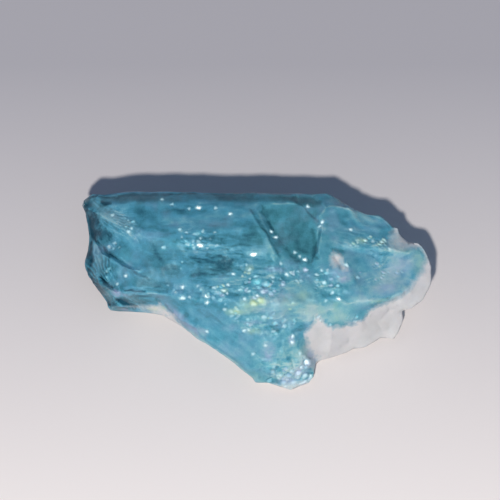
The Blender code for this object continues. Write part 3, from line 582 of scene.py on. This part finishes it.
# Ovals where the film is lighter or deeper than its middle blue, and by how much of the whole scale. Some are
# its own colour; others are painted shade on edges and facets turned from the lamp, or painted light on walls
# in shade.
TONES = [
    # the left end: painted shade on its edges and on the facets turned from the lamp, a paler crest
    (-16.5, 6.3, 0.9, 2.0, 0, -0.5), (-16.8, 3.6, 0.6, 1.8, 0, -0.5), (-16.0, 0.2, 1.2, 1.8, -50, -0.32),
    (-16.5, 2.0, 0.7, 1.2, 0, -0.25), (-17.3, 8.7, 0.9, 1.1, 0, -0.6), (-12.9, -1.0, 1.4, 0.45, -20, -0.55),
    (-15.4, 5.8, 1.5, 1.6, 0, -0.4), (-15.2, 8.8, 0.9, 0.4, 0, -0.3), (-15.2, 8.0, 3.0, 1.7, -20, -0.16),
    (-13.4, 6.8, 1.8, 0.8, -35, -0.06), (-13.2, 4.2, 1.6, 1.2, 0, -0.11), (-15.0, 2.2, 1.4, 2.0, 0, -0.27),
    (-12.0, 1.0, 3.0, 1.2, 0, -0.14), (-12.2, -0.7, 1.5, 0.8, -25, -0.18), (-11.2, -0.6, 1.8, 0.6, 0, -0.12),
    (-11.3, 7.8, 2.2, 1.1, -10, -0.24), (-14.4, -0.9, 0.9, 0.6, 0, -0.16), (-13.3, -1.9, 1.9, 0.4, -3, -0.44),
    (-14.5, -1.4, 0.7, 0.25, -10, -0.35), (-13.7, 0.3, 0.9, 0.8, 0, -0.2),
    # the band under the top edge, deep as painted shade where it slopes away from the lamp but for its right
    # end, and the long upper face
    (-11.6, 9.3, 7.5, 0.7, 0, -0.26), (-2.2, 9.4, 5.5, 0.65, 0, -0.26), (4.4, 9.1, 3.0, 0.6, -8, -0.42),
    (8.0, 9.1, 1.2, 0.5, -15, 0.12), (-9.6, 3.6, 3.2, 2.8, 0, -0.19), (-4.0, 2.8, 3.8, 1.5, 0, -0.26),
    (-3.0, 2.7, 0.8, 0.7, 0, 0.1), (-4.2, 5.3, 4.2, 1.3, 0, -0.26), (-6.8, 5.1, 1.3, 0.8, -20, 0.14),
    (-8.0, 2.4, 2.6, 1.5, 0, -0.15), (-9.8, 0.6, 2.2, 1.0, 0, -0.18), (-7.0, -0.8, 3.4, 1.4, -10, -0.1),
    (-7.8, 8.0, 2.4, 1.3, 0, -0.12),
    # the dark pane and the strokes beside it
    (3.2, 6.3, 2.9, 2.9, 0, -0.16), (2.9, 6.5, 1.4, 1.5, 0, 0.08), (1.4, 8.0, 2.2, 0.9, 0, -0.2),
    (5.6, 7.9, 1.0, 0.9, 0, -0.12), (-1.4, 5.0, 1.3, 1.0, 0, -0.12), (4.4, 4.1, 2.0, 1.3, 0, -0.15),
    (-0.3, 5.7, 1.2, 2.0, 28, -0.18),
    # the right lobe, paler towards its rim, with painted light on the bare notch, which is in shade
    (8.4, 6.7, 1.4, 1.2, 0, -0.05), (8.8, 1.3, 1.2, 0.8, 0, 0.2), (13.8, 5.0, 1.1, 0.9, 0, 0.32),
    (16.3, 3.2, 0.8, 1.5, 0, 0.1), (10.5, 5.8, 3.5, 1.8, -8, 0.12), (10.4, 7.5, 2.4, 0.9, -15, 0.25),
    (8.2, 1.2, 2.4, 1.8, 0, 0.14), (12.2, 2.0, 3.8, 2.8, 12, 0.2), (14.6, 2.4, 2.0, 2.2, 30, 0.22),
    (12.2, 0.4, 3.4, 1.2, 10, 0.24),
    # the pale middle and the ledge
    (1.0, -0.9, 3.4, 1.2, 0, 0.22), (4.4, 0.2, 3.0, 1.4, 0, 0.16), (3.4, -2.0, 3.5, 1.3, 5, 0.2),
    (6.6, -2.0, 2.8, 1.6, 0, 0.4), (10.3, -0.9, 2.4, 0.8, 8, 0.3), (8.6, -2.3, 1.5, 1.0, 0, 0.24),
    (-4.6, -2.4, 2.4, 1.2, -20, -0.14), (-2.1, -2.0, 1.2, 0.5, 0, 0.22),
    # the lower face, its long edge and the bottom lobe, with painted light on the shaded wall beside that
    # lobe
    (-9.6, -2.9, 1.5, 0.8, -38, 0.14), (-6.2, -4.0, 2.0, 0.6, -38, 0.16), (-2.6, -4.3, 1.5, 1.0, 0, -0.08),
    (0.9, -4.7, 1.5, 1.7, 0, 0.2), (3.2, -4.9, 1.8, 1.9, 0, 0.14), (1.4, -7.4, 2.5, 1.7, 0, 0.03),
    (3.9, -8.0, 2.2, 1.8, 0, 0.2), (4.3, -6.3, 1.3, 1.3, 0, 0.34), (3.4, -8.9, 1.6, 0.6, 5, 0.12),
    (5.5, -6.2, 0.9, 2.2, 20, 0.55), (-5.3, -4.0, 0.9, 0.5, -30, 0.15),
]
# Ovals of painted sheen and coloured glints in lilac, lime or cyan, or where fine scratches and crushed edges
# frost it.
LILAC_SHEEN = [
    (-13.9, -0.1, 0.6, 0.4, -10, 1.3), (-13.1, -0.3, 0.7, 0.25, -30, 0.4), (-13.0, -1.9, 0.9, 0.2, 0, 0.5),
    (0.8, 0.0, 0.6, 0.4, 0, 0.9), (0.6, 0.2, 0.9, 0.5, 0, 0.4), (-0.4, -3.0, 1.3, 0.35, 0, 0.6),
    (8.8, 1.3, 0.8, 0.6, 10, 0.8), (8.4, 1.8, 1.8, 1.1, 0, 0.5), (14.4, 2.4, 2.0, 1.4, 25, 0.5),
    (13.0, 0.4, 1.8, 0.9, 10, 0.5), (-8.0, -2.2, 2.0, 0.5, -40, 0.75), (-6.6, -3.5, 2.4, 0.4, -38, 0.5),
    (1.8, 2.2, 1.4, 0.5, 0, 0.4), (2.8, -0.3, 1.1, 0.4, 0, 0.35), (1.2, -6.0, 1.0, 1.3, 0, 0.6),
    (3.4, -8.9, 1.8, 0.7, 0, 0.75), (5.0, -7.1, 0.9, 0.8, 0, 0.7), (3.5, -4.8, 0.5, 0.7, 0, 0.5),
    (4.3, -8.0, 1.3, 0.8, 0, 0.65), (5.6, -6.4, 0.8, 2.2, 20, 0.6), (-2.6, -3.6, 1.2, 0.6, 0, 0.3),
    (0.6, -1.8, 2.4, 0.5, 0, 0.3), (-4.6, -2.4, 2.6, 1.2, -20, 0.14), (-0.8, -5.4, 1.6, 1.4, -40, 0.14),
    (-5.3, -4.0, 0.9, 0.5, -30, 0.4),
]
LIME_SHEEN = [
    (-0.2, -1.1, 0.7, 0.5, 0, 1.3), (0.4, -0.9, 0.6, 0.5, 0, 1.3), (-2.1, -2.0, 1.3, 0.5, 0, 0.7),
    (-3.2, 0.1, 0.5, 0.35, 0, 0.5), (-0.7, 2.3, 0.6, 0.5, 0, 0.5), (-9.9, -1.7, 1.1, 0.4, 0, 1.3),
    (4.6, -0.4, 0.8, 0.7, 0, 0.35), (10.4, 5.1, 0.9, 0.4, 0, 0.55), (12.5, 4.8, 0.7, 0.4, 0, 0.35),
    (7.8, -1.4, 1.1, 0.8, 0, 0.25), (-0.2, -3.9, 0.9, 0.5, 0, 0.5), (3.2, -0.9, 1.6, 0.8, 0, 0.2),
    (8.2, -2.6, 1.2, 0.8, 0, 0.2), (12.6, -0.8, 2.4, 0.3, 14, 0.35), (-0.9, -1.5, 2.0, 0.8, 0, 0.35),
    (5.6, -2.0, 2.2, 0.8, 0, 0.12), (0.2, -8.6, 1.6, 0.6, -30, 0.2), (16.2, 3.0, 1.0, 1.8, 0, 0.3),
    (14.6, 4.1, 1.6, 0.5, -5, 0.3),
]
CYAN_SHEEN = [
    (0.0, 0.9, 0.8, 0.4, 0, 1.5), (0.9, 0.8, 0.5, 0.4, 0, 1.0), (-9.2, 4.4, 0.5, 0.4, 0, 0.5),
    (-6.5, 4.6, 0.8, 0.4, -15, 0.8), (-5.7, 5.9, 0.8, 0.5, 0, 0.6), (-1.6, 0.2, 0.5, 0.3, 0, 0.6),
    (6.7, 0.9, 0.6, 0.4, 0, 0.6), (7.4, -0.1, 0.4, 0.3, 0, 0.5), (-7.6, 6.2, 0.5, 0.4, 30, 0.4),
    (1.2, -7.6, 0.8, 0.7, 0, 0.4), (-8.1, 4.8, 1.8, 0.8, 0, 0.35), (-12.8, 3.6, 1.2, 1.1, 0, 0.3),
    (2.4, -1.5, 2.6, 0.8, 0, 0.25), (7.2, -0.5, 2.0, 0.8, 0, 0.25),
]
FROSTED = [
    (-14.2, 7.4, 2.8, 0.9, -30, 0.6), (-12.8, 6.6, 1.4, 1.0, -45, 0.45), (-16.0, 8.5, 0.9, 0.5, -20, 0.4),
    (-11.6, 9.3, 8.0, 0.7, 0, 0.35), (-2.2, 9.4, 5.5, 0.6, 0, 0.25), (4.4, 9.1, 3.5, 0.6, -8, 0.35),
    (-13.4, -1.9, 2.0, 0.45, -3, 0.65), (-5.3, -4.0, 0.9, 0.5, -30, 0.6), (-14.8, 0.0, 1.2, 1.6, -50, 0.4),
    (-15.6, 3.0, 0.9, 2.0, -12, 0.35), (-12.2, -0.7, 1.5, 0.7, -25, 0.4), (-6.6, -3.8, 4.0, 0.35, -37, 0.65),
    (-2.0, -7.2, 3.5, 0.35, -38, 0.5), (8.5, 8.9, 2.0, 0.5, -15, 0.6), (3.0, -1.3, 4.2, 1.8, 0, 0.5),
    # of these, the oval on the foot greys the bare quartz there, and the last pales the wall beside the
    # bottom lobe, turned from the lamp, as painted light
    (12.8, 1.0, 3.0, 1.7, 12, 0.15), (12.8, -3.6, 2.4, 1.8, 0, 0.9), (5.3, -5.9, 0.9, 1.8, 20, 0.9),
]
STREAKS = [
    # an oval zone, the way its streaks run in degrees, their length against their width, width and strength
    ((-14.0, 6.8, 4.5, 2.4, -30), -34, 4.0, 0.22, 0.3), ((-15.4, 2.4, 2.2, 5.0, 10), -66, 4.0, 0.2, 0.26),
    ((-5.0, 5.0, 10.0, 6.4, 0), -4, 5.0, 0.24, 0.26), ((-2.0, 2.0, 8.0, 3.6, 0), -2, 4.0, 0.16, 0.28),
    ((-4.0, -3.6, 7.5, 3.0, -38), -38, 6.0, 0.2, 0.15), ((13.0, 2.4, 5.0, 4.0, 15), 17, 4.0, 0.2, 0.26),
    ((3.2, 6.0, 2.8, 3.2, 0), -64, 2.5, 0.26, 0.05), ((3.0, -2.4, 6.0, 3.4, 0), 4, 3.0, 0.22, 0.26),
    ((8.6, 6.0, 4.6, 2.6, 0), -12, 3.0, 0.24, 0.18), ((3.0, -7.6, 4.6, 3.0, 0), 12, 2.0, 0.24, 0.3),
]
FINE_SHARE = 0.4  # of a streak's strength that its sharp threads give; broader bands give the rest
BROAD = 2.4  # how much broader those bands are
MOTTLED = [(2.4, 0.07), (0.9, 0.06), (0.4, 0.05), (0.2, 0.04)]  # swells of the tone, in mm
CRUMBLED = [(0.45, 0.12), (0.22, 0.12)]  # the same, added where the surface is splintered
MIDDLE_TONE = 0.51
LEAST_TONE = 0.22  # away from the left end, where it may be deeper
# painted shade: the left end's overhangs, facing down and away from the lamp, made deeper
UNDERCUT_PAINTED_SHADE = 0.7  # how much deeper the left end's overhangs look
# painted light and shade: ridges made paler and hollows deeper, by how far a place stands out or sinks
RAISED_PAINTED_LIGHT = 9.0  # how much paler the film looks for each mm that a place stands out
MOST_RAISED_PAINTED_LIGHT = (-0.20, 0.15)
# healed veils look lighter; lit edges and the shaded step are paled as painted light
VEIL_AND_PAINTED_LIGHT_TONE = 0.8
# painted shade in the open cracks, and the darker colour of the dark threads
CRACK_SHADE_AND_THREAD_TONE = -0.55
# painted light and shade on the hackles: paler on their crests, deeper between them
HACKLE_PAINTED_LIGHT = 0.08
# painted light: a paler halo round each larger chip, standing in for the glow of its glint
CHIP_HALO_PAINTED_LIGHT = 0.16
CHIP_HALO_REACH = 0.35  # mm, how far that paler halo reaches round a chip
DEEP_TONES = (0.35, 0.50)  # no faint sheen below the first, the whole of it above the second
# painted sheen: faint lilac and cyan clouds laid on the film
SHEEN = {"lilac": 0.18, "cyan": 0.10}  # faint clouds of these over the rest of the film
SHEEN_SWELLS = [(1.3, 1.0), (0.5, 0.6)]
TINT_STRENGTH = 0.75  # of the tints' and the frost's own strengths, before swells
TINT_SWELLS = [(0.6, 0.35), (0.25, 0.35)]
# painted coloured glint round each coloured sparkle
SPARKLE_PAINTED_GLINT = 0.6  # the strength of a tint round a coloured sparkle
TINT_SIZE = 1.6  # against the sparkle's
TEAL_FROM_LEFT = [(-6.0, 2.4), (0.0, 0.7)]  # mm along u, and how green the film is there
LESS_TEAL_RIGHT = [(8.0, 11.0), (1.0, 0.5)]  # the same, of that green
TEAL_PANE = (3.4, 6.4, 4.0, 3.6, 0)
TEAL_SWELLS = [(1.8, 0.30)]
TEAL_STREAKS = (-4, 3.0, 0.5, 0.25)  # way in degrees, length against width, width in mm, strength
CRYSTAL_FACES = (0.92, 0.97)  # the normals' backward part, where the glassy back begins and is whole
tints = {"lilac": LILAC_SHEEN, "lime": LIME_SHEEN, "cyan": CYAN_SHEEN}
for (at_u, at_v, length, width, turn, _), name in zip(sparkles, sparkle_colours):
    if name in tints:
        tints[name].append((at_u, at_v, length * TINT_SIZE, width * TINT_SIZE, turn, SPARKLE_PAINTED_GLINT))


def along(angle, stretch):
    """Every place on axes turned on the sheet, shortened along the first so that marks are drawn out."""
    turned = math.radians(angle)
    first = (astray_u * math.cos(turned) + astray_v * math.sin(turned)) / stretch
    return np.column_stack([first, astray_v * math.cos(turned) - astray_u * math.sin(turned), w])


def within(u, v, outline, soft):
    """How far each place lies inside a closed outline: 1 inside, 0 outside, with a soft edge."""
    found = np.zeros(len(u), bool)
    for (au, av), (bu, bv) in zip(outline, outline[1:] + outline[:1]):
        if av != bv:
            found ^= ((av > v) != (bv > v)) & (u < (bu - au) * (v - av) / (bv - av) + au)
    distance = beside(u, v, outline + outline[:1])[0]
    return np.clip(0.5 + np.where(found, distance, -distance) / soft, 0, 1)


def paint(name, values):
    """Stores one number for each of the stone's vertices, for the material to read."""
    layer = stone_mesh.attributes.new(name, "FLOAT", "POINT")
    layer.data.foreach_set("value", np.clip(values, 0, 1).astype(np.float32))


u, v, w = drawn(places)
normals = outward(places, corners)
fraying = 1 - STEADIER * np.maximum(rise(u, *ON_RIM), patch(u, v, LOW_LEFT))
frayed_u = u + swelled(0, FRAYED) * fraying
frayed_v = v + swelled(0, FRAYED) * fraying
softness = np.full(len(places), SOFT_EDGE)
for spot in SOFTER:
    softness += patch(u, v, spot) * spot[5]
film = within(frayed_u, frayed_v, EDGE_OF_FILM, softness)
film *= 1 - patches(astray_u, astray_v, BARE_CHIPS, soft=0.9)
for spot in FILMED_FLECKS:
    film = np.maximum(film, patch(frayed_u, frayed_v, spot, soft=0.8) * FLECK_FILM)
on_left_end = rise(-u, *ON_LEFT_END)
clear = rise(places[:, 2], *OFF_THE_BED) * rise(normals[:, 2], *NOT_UNDER)
film *= np.maximum(on_left_end, clear)
tone = np.full(len(places), MIDDLE_TONE)
for spot in TONES:
    tone += patch(astray_u, astray_v, spot, soft=0.9) * spot[5]
not_deep = rise(tone, *DEEP_TONES)
tone = swelled(tone, MOTTLED)
for size, strength in CRUMBLED:
    tone += rolling(places, size) * strength * splintered
for zone, angle, stretch, size, strength in STREAKS:
    threads = 1 - 2 * np.abs(rolling(along(angle, stretch), size))
    bands = rolling(along(angle, stretch), size * BROAD)
    tone += patch(u, v, zone, soft=0.6) * strength * (FINE_SHARE * threads + (1 - FINE_SHARE) * bands)
raised = ((places - mean_beside(places, sides)) * normals).sum(axis=1)
raised = mean_beside(raised[:, None], sides)[:, 0]
soft_folds = np.max([patch(u, v, spot) for spot in SOFTENED], axis=0)
dark_threaded = lines(u, v, dark_threads) * broken * above
# painted light and shade: paler where a place stands out, deeper where it sinks, but not on the soft folds
tone += np.clip(raised * RAISED_PAINTED_LIGHT, *MOST_RAISED_PAINTED_LIGHT) * (1 - soft_folds)
tone += veils_and_lit_edges * VEIL_AND_PAINTED_LIGHT_TONE + np.maximum(opened, dark_threaded) * CRACK_SHADE_AND_THREAD_TONE + fanned * HACKLE_PAINTED_LIGHT
# painted light: a pale halo round the larger chips
tone += patches(u, v, CHIPS, soft=1.0, margin=CHIP_HALO_REACH) * CHIP_HALO_PAINTED_LIGHT
# painted shade under the left end's overhangs
tone -= rise(-u, *FAR_LEFT) * np.clip(0.5 - normals[:, 2], 0, 0.5) * UNDERCUT_PAINTED_SHADE
tone = np.maximum(tone, LEAST_TONE * (1 - on_left_end))
paint("film", film)
paint("tone", tone)
teal = np.interp(u, *TEAL_FROM_LEFT) * np.interp(u, *LESS_TEAL_RIGHT) + patch(u, v, TEAL_PANE)
teal = swelled(teal, TEAL_SWELLS)
angle, stretch, size, strength = TEAL_STREAKS
teal += rolling(along(angle, stretch), size) * strength
paint("teal", teal)
for name, spots in (*tints.items(), ("frosted", FROSTED)):
    uneven = swelled(TINT_STRENGTH, TINT_SWELLS)
    sheen = SHEEN.get(name, 0.0) * np.clip(swelled(0, SHEEN_SWELLS), 0, 1) * not_deep
    paint(name, np.maximum(patches(astray_u, astray_v, spots, soft=0.9) * uneven, sheen))
paint("coat_and_painted_glint", coat_and_painted_glint)
paint("glassy", rise(normals[:, 1], *CRYSTAL_FACES))


NODE_STEP = 220


def node(kind, place, **settings):
    """A new node in the present tree, some steps across and down, with settings and inputs set by name."""
    made = tree.nodes.new(kind)
    made.location = (place[0] * NODE_STEP, -place[1] * NODE_STEP)
    for name, value in settings.items():
        if hasattr(made, name):
            setattr(made, name, value)
        else:
            made.inputs[name.replace("_", " ")].default_value = value
    return made


quartz = bpy.data.materials.new("aura_quartz")
quartz.use_nodes = True
tree = quartz.node_tree
tree.nodes.clear()
output = node("ShaderNodeOutputMaterial", (6, 0))
shader = node(
    "ShaderNodeBsdfPrincipled", (5, 0), IOR=1.544, Metallic=0.0, Roughness=0.38, Coat_Roughness=0.11,
    Transmission_Weight=0.32, Subsurface_Weight=0.35, Subsurface_Radius=(0.8, 0.9, 1.0),
    Subsurface_Scale=1.0 * MM, Specular_IOR_Level=0.09, Specular_Tint=(0.50, 0.85, 1.0, 1),
)
tree.links.new(shader.outputs["BSDF"], output.inputs["Surface"])
absorbed = node("ShaderNodeVolumeAbsorption", (5, 3), Density=60.0, Color=(0.55, 0.86, 0.93, 1))
tree.links.new(absorbed.outputs["Volume"], output.inputs["Volume"])


def attribute(name, place):
    """A node that reads one of the stone's stored numbers."""
    made = node("ShaderNodeAttribute", place)
    made.attribute_name = name
    return made.outputs["Fac"]


def fill(socket, value):
    """Links another node's output to a socket, or sets its number or colour."""
    if isinstance(value, bpy.types.NodeSocket):
        tree.links.new(value, socket)
    else:
        socket.default_value = value if isinstance(value, float) else (*value, 1)


def blended(share, low, high, place, way="MIX"):
    """One colour over another. Each may be a colour or another node's output."""
    mix = node("ShaderNodeMix", place, data_type="RGBA", blend_type=way)
    for socket, value in ((mix.inputs[0], share), (mix.inputs[6], low), (mix.inputs[7], high)):
        fill(socket, value)
    return mix.outputs[2]


def combined(operation, a, b, place, clamped=True):
    """Two numbers combined by one step of arithmetic."""
    made = node("ShaderNodeMath", place, operation=operation, use_clamp=clamped)
    fill(made.inputs[0], a)
    fill(made.inputs[1], b)
    return made.outputs[0]


where = node("ShaderNodeTexCoord", (-5, 1)).outputs["Object"]


def clouds(size, detail, place, low=0.35, high=0.65):
    """Soft clouds of a given size in mm, from 0 to 1."""
    noise = node("ShaderNodeTexNoise", place, Scale=1 / (size * MM), Detail=detail)
    tree.links.new(where, noise.inputs["Vector"])
    span = node("ShaderNodeMapRange", (place[0] + 1, place[1]), From_Min=low, From_Max=high)
    tree.links.new(noise.outputs["Fac"], span.inputs["Value"])
    return span.outputs["Result"]


TONE_COLOURS = [
    # tone, then the film's colour there
    (0.00, (0.005, 0.070, 0.115)), (0.20, (0.034, 0.165, 0.240)), (0.38, (0.078, 0.335, 0.445)),
    (0.52, (0.112, 0.450, 0.620)), (0.64, (0.180, 0.550, 0.705)), (0.74, (0.270, 0.645, 0.765)),
    (0.84, (0.385, 0.725, 0.805)), (1.00, (0.565, 0.855, 0.900)),
]
TEAL_SHARE = (1.04, 1.01, 0.92)  # what the bluer film is multiplied by where it is greenest
# painted sheen and coloured glints: the colours of the lilac, lime and cyan ovals
LILAC_SHEEN_COLOUR = (0.600, 0.660, 0.930)
LIME_SHEEN_COLOUR = (0.720, 0.980, 0.560)
CYAN_SHEEN_COLOUR = (0.230, 0.850, 0.990)
FROST_COLOUR = (0.330, 0.460, 0.490)
# painted glint: the pale colour laid over flashing chips
PAINTED_GLINT_COLOUR = (0.640, 0.960, 1.000)
MILKY = (0.985, 0.985, 0.965)
GREY_MILKY = (0.835, 0.850, 0.830)
GRAIN = 0.16  # how much the finest grain adds to the tone
# painted glint: how far a chip's flash pales its colour towards the glint colour
PALEST_PAINTED_GLINT = 1.4  # a chip is palest where its flash is over one part in this
PAINTED_GLINT_SHARE = 0.85  # of the flash's colour, laid over the film there
FRINGE = 0.4  # how far fine clouds break into the film at its edge
LILAC_SHARE = 0.8  # of what lime and cyan take from a white glint
TINT_SHARE = 0.92  # of a white glint that a full tint takes away
GLINT = 0.050  # the coat on a chip at full strength
GLINT_POWER = 3.0
FACE_COAT = 0.6  # the coat on the crystal faces
grain = clouds(0.13, 3.0, (-4, 0), low=0.2, high=0.8)
either_way = combined("SUBTRACT", grain, 0.5, (-2, 0), clamped=False)
shift = combined("MULTIPLY", either_way, GRAIN, (-1, 0), clamped=False)
toned = combined("ADD", attribute("tone", (-2, 1)), shift, (0, 0))
ramp = node("ShaderNodeValToRGB", (1, 0))
for at, colour in TONE_COLOURS[1:-1]:
    ramp.color_ramp.elements.new(at)
for stop, (at, colour) in zip(ramp.color_ramp.elements, TONE_COLOURS):
    stop.position = at
    stop.color = (*colour, 1)
tree.links.new(toned, ramp.inputs["Fac"])
filmed = blended(attribute("teal", (1, 1)), ramp.outputs["Color"], TEAL_SHARE, (2, -1), way="MULTIPLY")
filmed = blended(attribute("frosted", (1, 2)), filmed, FROST_COLOUR, (2, 0))
flash = attribute("coat_and_painted_glint", (1, 6))
painted_glint_full = combined("MULTIPLY", flash, PALEST_PAINTED_GLINT, (1, 7))
painted_glint = combined("MULTIPLY", painted_glint_full, PAINTED_GLINT_SHARE, (2, 7))
filmed = blended(painted_glint, filmed, PAINTED_GLINT_COLOUR, (2, 1))
lilac, lime, cyan = (attribute(name, (1, 3 + i)) for i, name in enumerate(("lilac", "lime", "cyan")))
filmed = blended(lilac, filmed, LILAC_SHEEN_COLOUR, (2, 2))
filmed = blended(lime, filmed, LIME_SHEEN_COLOUR, (2, 3))
filmed = blended(cyan, filmed, CYAN_SHEEN_COLOUR, (2, 4))
drift = clouds(1.8, 4.0, (-4, 4), low=0.42, high=0.80)
milky = blended(attribute("frosted", (1, 9)), blended(drift, MILKY, GREY_MILKY, (2, 5)), GREY_MILKY, (2, 6))
fringe = combined("MULTIPLY", clouds(0.30, 3.0, (-4, 6), low=0.25, high=0.75), FRINGE, (-1, 6))
spread = combined("MULTIPLY", attribute("film", (-2, 5)), 1 + FRINGE, (-1, 5), clamped=False)
reach = combined("SUBTRACT", combined("ADD", spread, fringe, (0, 5), clamped=False), FRINGE, (1, 8))
surface = blended(reach, milky, filmed, (3, 0))
tree.links.new(surface, shader.inputs["Base Color"])
lilac_part = combined("MULTIPLY", lilac, LILAC_SHARE, (1, 8))
coloured = combined("ADD", combined("ADD", lime, cyan, (2, 8)), lilac_part, (3, 9))
uncoloured = combined("SUBTRACT", 1.0, combined("MULTIPLY", coloured, TINT_SHARE, (3, 9)), (4, 9))
glint = combined("MULTIPLY", combined("POWER", flash, GLINT_POWER, (3, 5)), GLINT, (4, 5))
glint = combined("MULTIPLY", glint, uncoloured, (4, 6))
face_coat = combined("MULTIPLY", attribute("glassy", (3, 7)), FACE_COAT, (4, 7))
glaze = combined("MAXIMUM", glint, face_coat, (5, 6))
tree.links.new(glaze, shader.inputs["Coat Weight"])
stone_mesh.materials.append(quartz)
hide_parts("quartz")
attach(stone, "root")

# The place where it lies: a sheet of pale paper, darker towards its far end as painted fall-off of the light,
# one small lamp above and in front, and soft light from all round.
FLOOR_HALF = 3.0
# painted light: the paper's colour runs from dim far to bright near, standing in for the fall-off of light
PAPER_FAR_PAINTED_DIM = (0.458, 0.453, 0.473)
PAPER_NEAR_PAINTED_BRIGHT = (0.925, 0.882, 0.836)
PAPER_SPAN = (0.026, -0.022)  # where the far and the near colour are reached, in metres along Y
floor_mesh = bpy.data.meshes.new("paper")
floor_corners = [(-1, -1), (1, -1), (1, 1), (-1, 1)]
floor_mesh.from_pydata([(x * FLOOR_HALF, y * FLOOR_HALF, 0) for x, y in floor_corners], [], [(0, 1, 2, 3)])
floor = bpy.data.objects.new("paper", floor_mesh)
scene.collection.objects.link(floor)
paper = bpy.data.materials.new("paper")
paper.use_nodes = True
tree = paper.node_tree
paper_shader = tree.nodes["Principled BSDF"]
paper_shader.inputs["Roughness"].default_value = 0.9
where = node("ShaderNodeTexCoord", (-5, 0)).outputs["Object"]
apart = node("ShaderNodeSeparateXYZ", (-4, 0))
tree.links.new(where, apart.inputs["Vector"])
nearness = node("ShaderNodeMapRange", (-3, 0), From_Min=PAPER_SPAN[0], From_Max=PAPER_SPAN[1])
tree.links.new(apart.outputs["Y"], nearness.inputs["Value"])
sheet = blended(nearness.outputs["Result"], PAPER_FAR_PAINTED_DIM, PAPER_NEAR_PAINTED_BRIGHT, (-2, 0))
tree.links.new(sheet, paper_shader.inputs["Base Color"])
floor_mesh.materials.append(paper)

LAMP_FLUX = 2.70  # watts on each square metre at the stone
LAMP_HALF_ANGLE = math.radians(1.75)  # as seen from the stone, for the shadow's soft edge
lamp = bpy.data.lights.new("lamp", "POINT")
lamp.energy = LAMP_FLUX * 4 * math.pi * LAMP_DISTANCE**2
lamp.shadow_soft_size = LAMP_DISTANCE * math.tan(LAMP_HALF_ANGLE)
lamp.color = (1.0, 0.93, 0.88)
lamp_object = bpy.data.objects.new("lamp", lamp)
lamp_object.location = LAMP
scene.collection.objects.link(lamp_object)

room = bpy.data.worlds.new("room")
room.use_nodes = True
background = room.node_tree.nodes["Background"]
background.inputs["Color"].default_value = (0.50, 0.65, 1.0, 1)
background.inputs["Strength"].default_value = 0.27
scene.world = room

EYE_DISTANCE = 0.45
SEEN_WIDTH = 0.050  # at the middle of the view
eye = bpy.data.cameras.new("eye")
eye.sensor_width = 36
eye.lens = eye.sensor_width * EYE_DISTANCE / SEEN_WIDTH
eye_object = bpy.data.objects.new("eye", eye)
right = Vector((1, 0, 0))
turned = Matrix((right, TO_EYE.cross(right), TO_EYE)).transposed().to_4x4()
eye_object.matrix_world = Matrix.Translation(AIM + TO_EYE * EYE_DISTANCE) @ turned
eye.clip_end = 10
scene.collection.objects.link(eye_object)
scene.camera = eye_object
scene.view_settings.view_transform = "Standard"
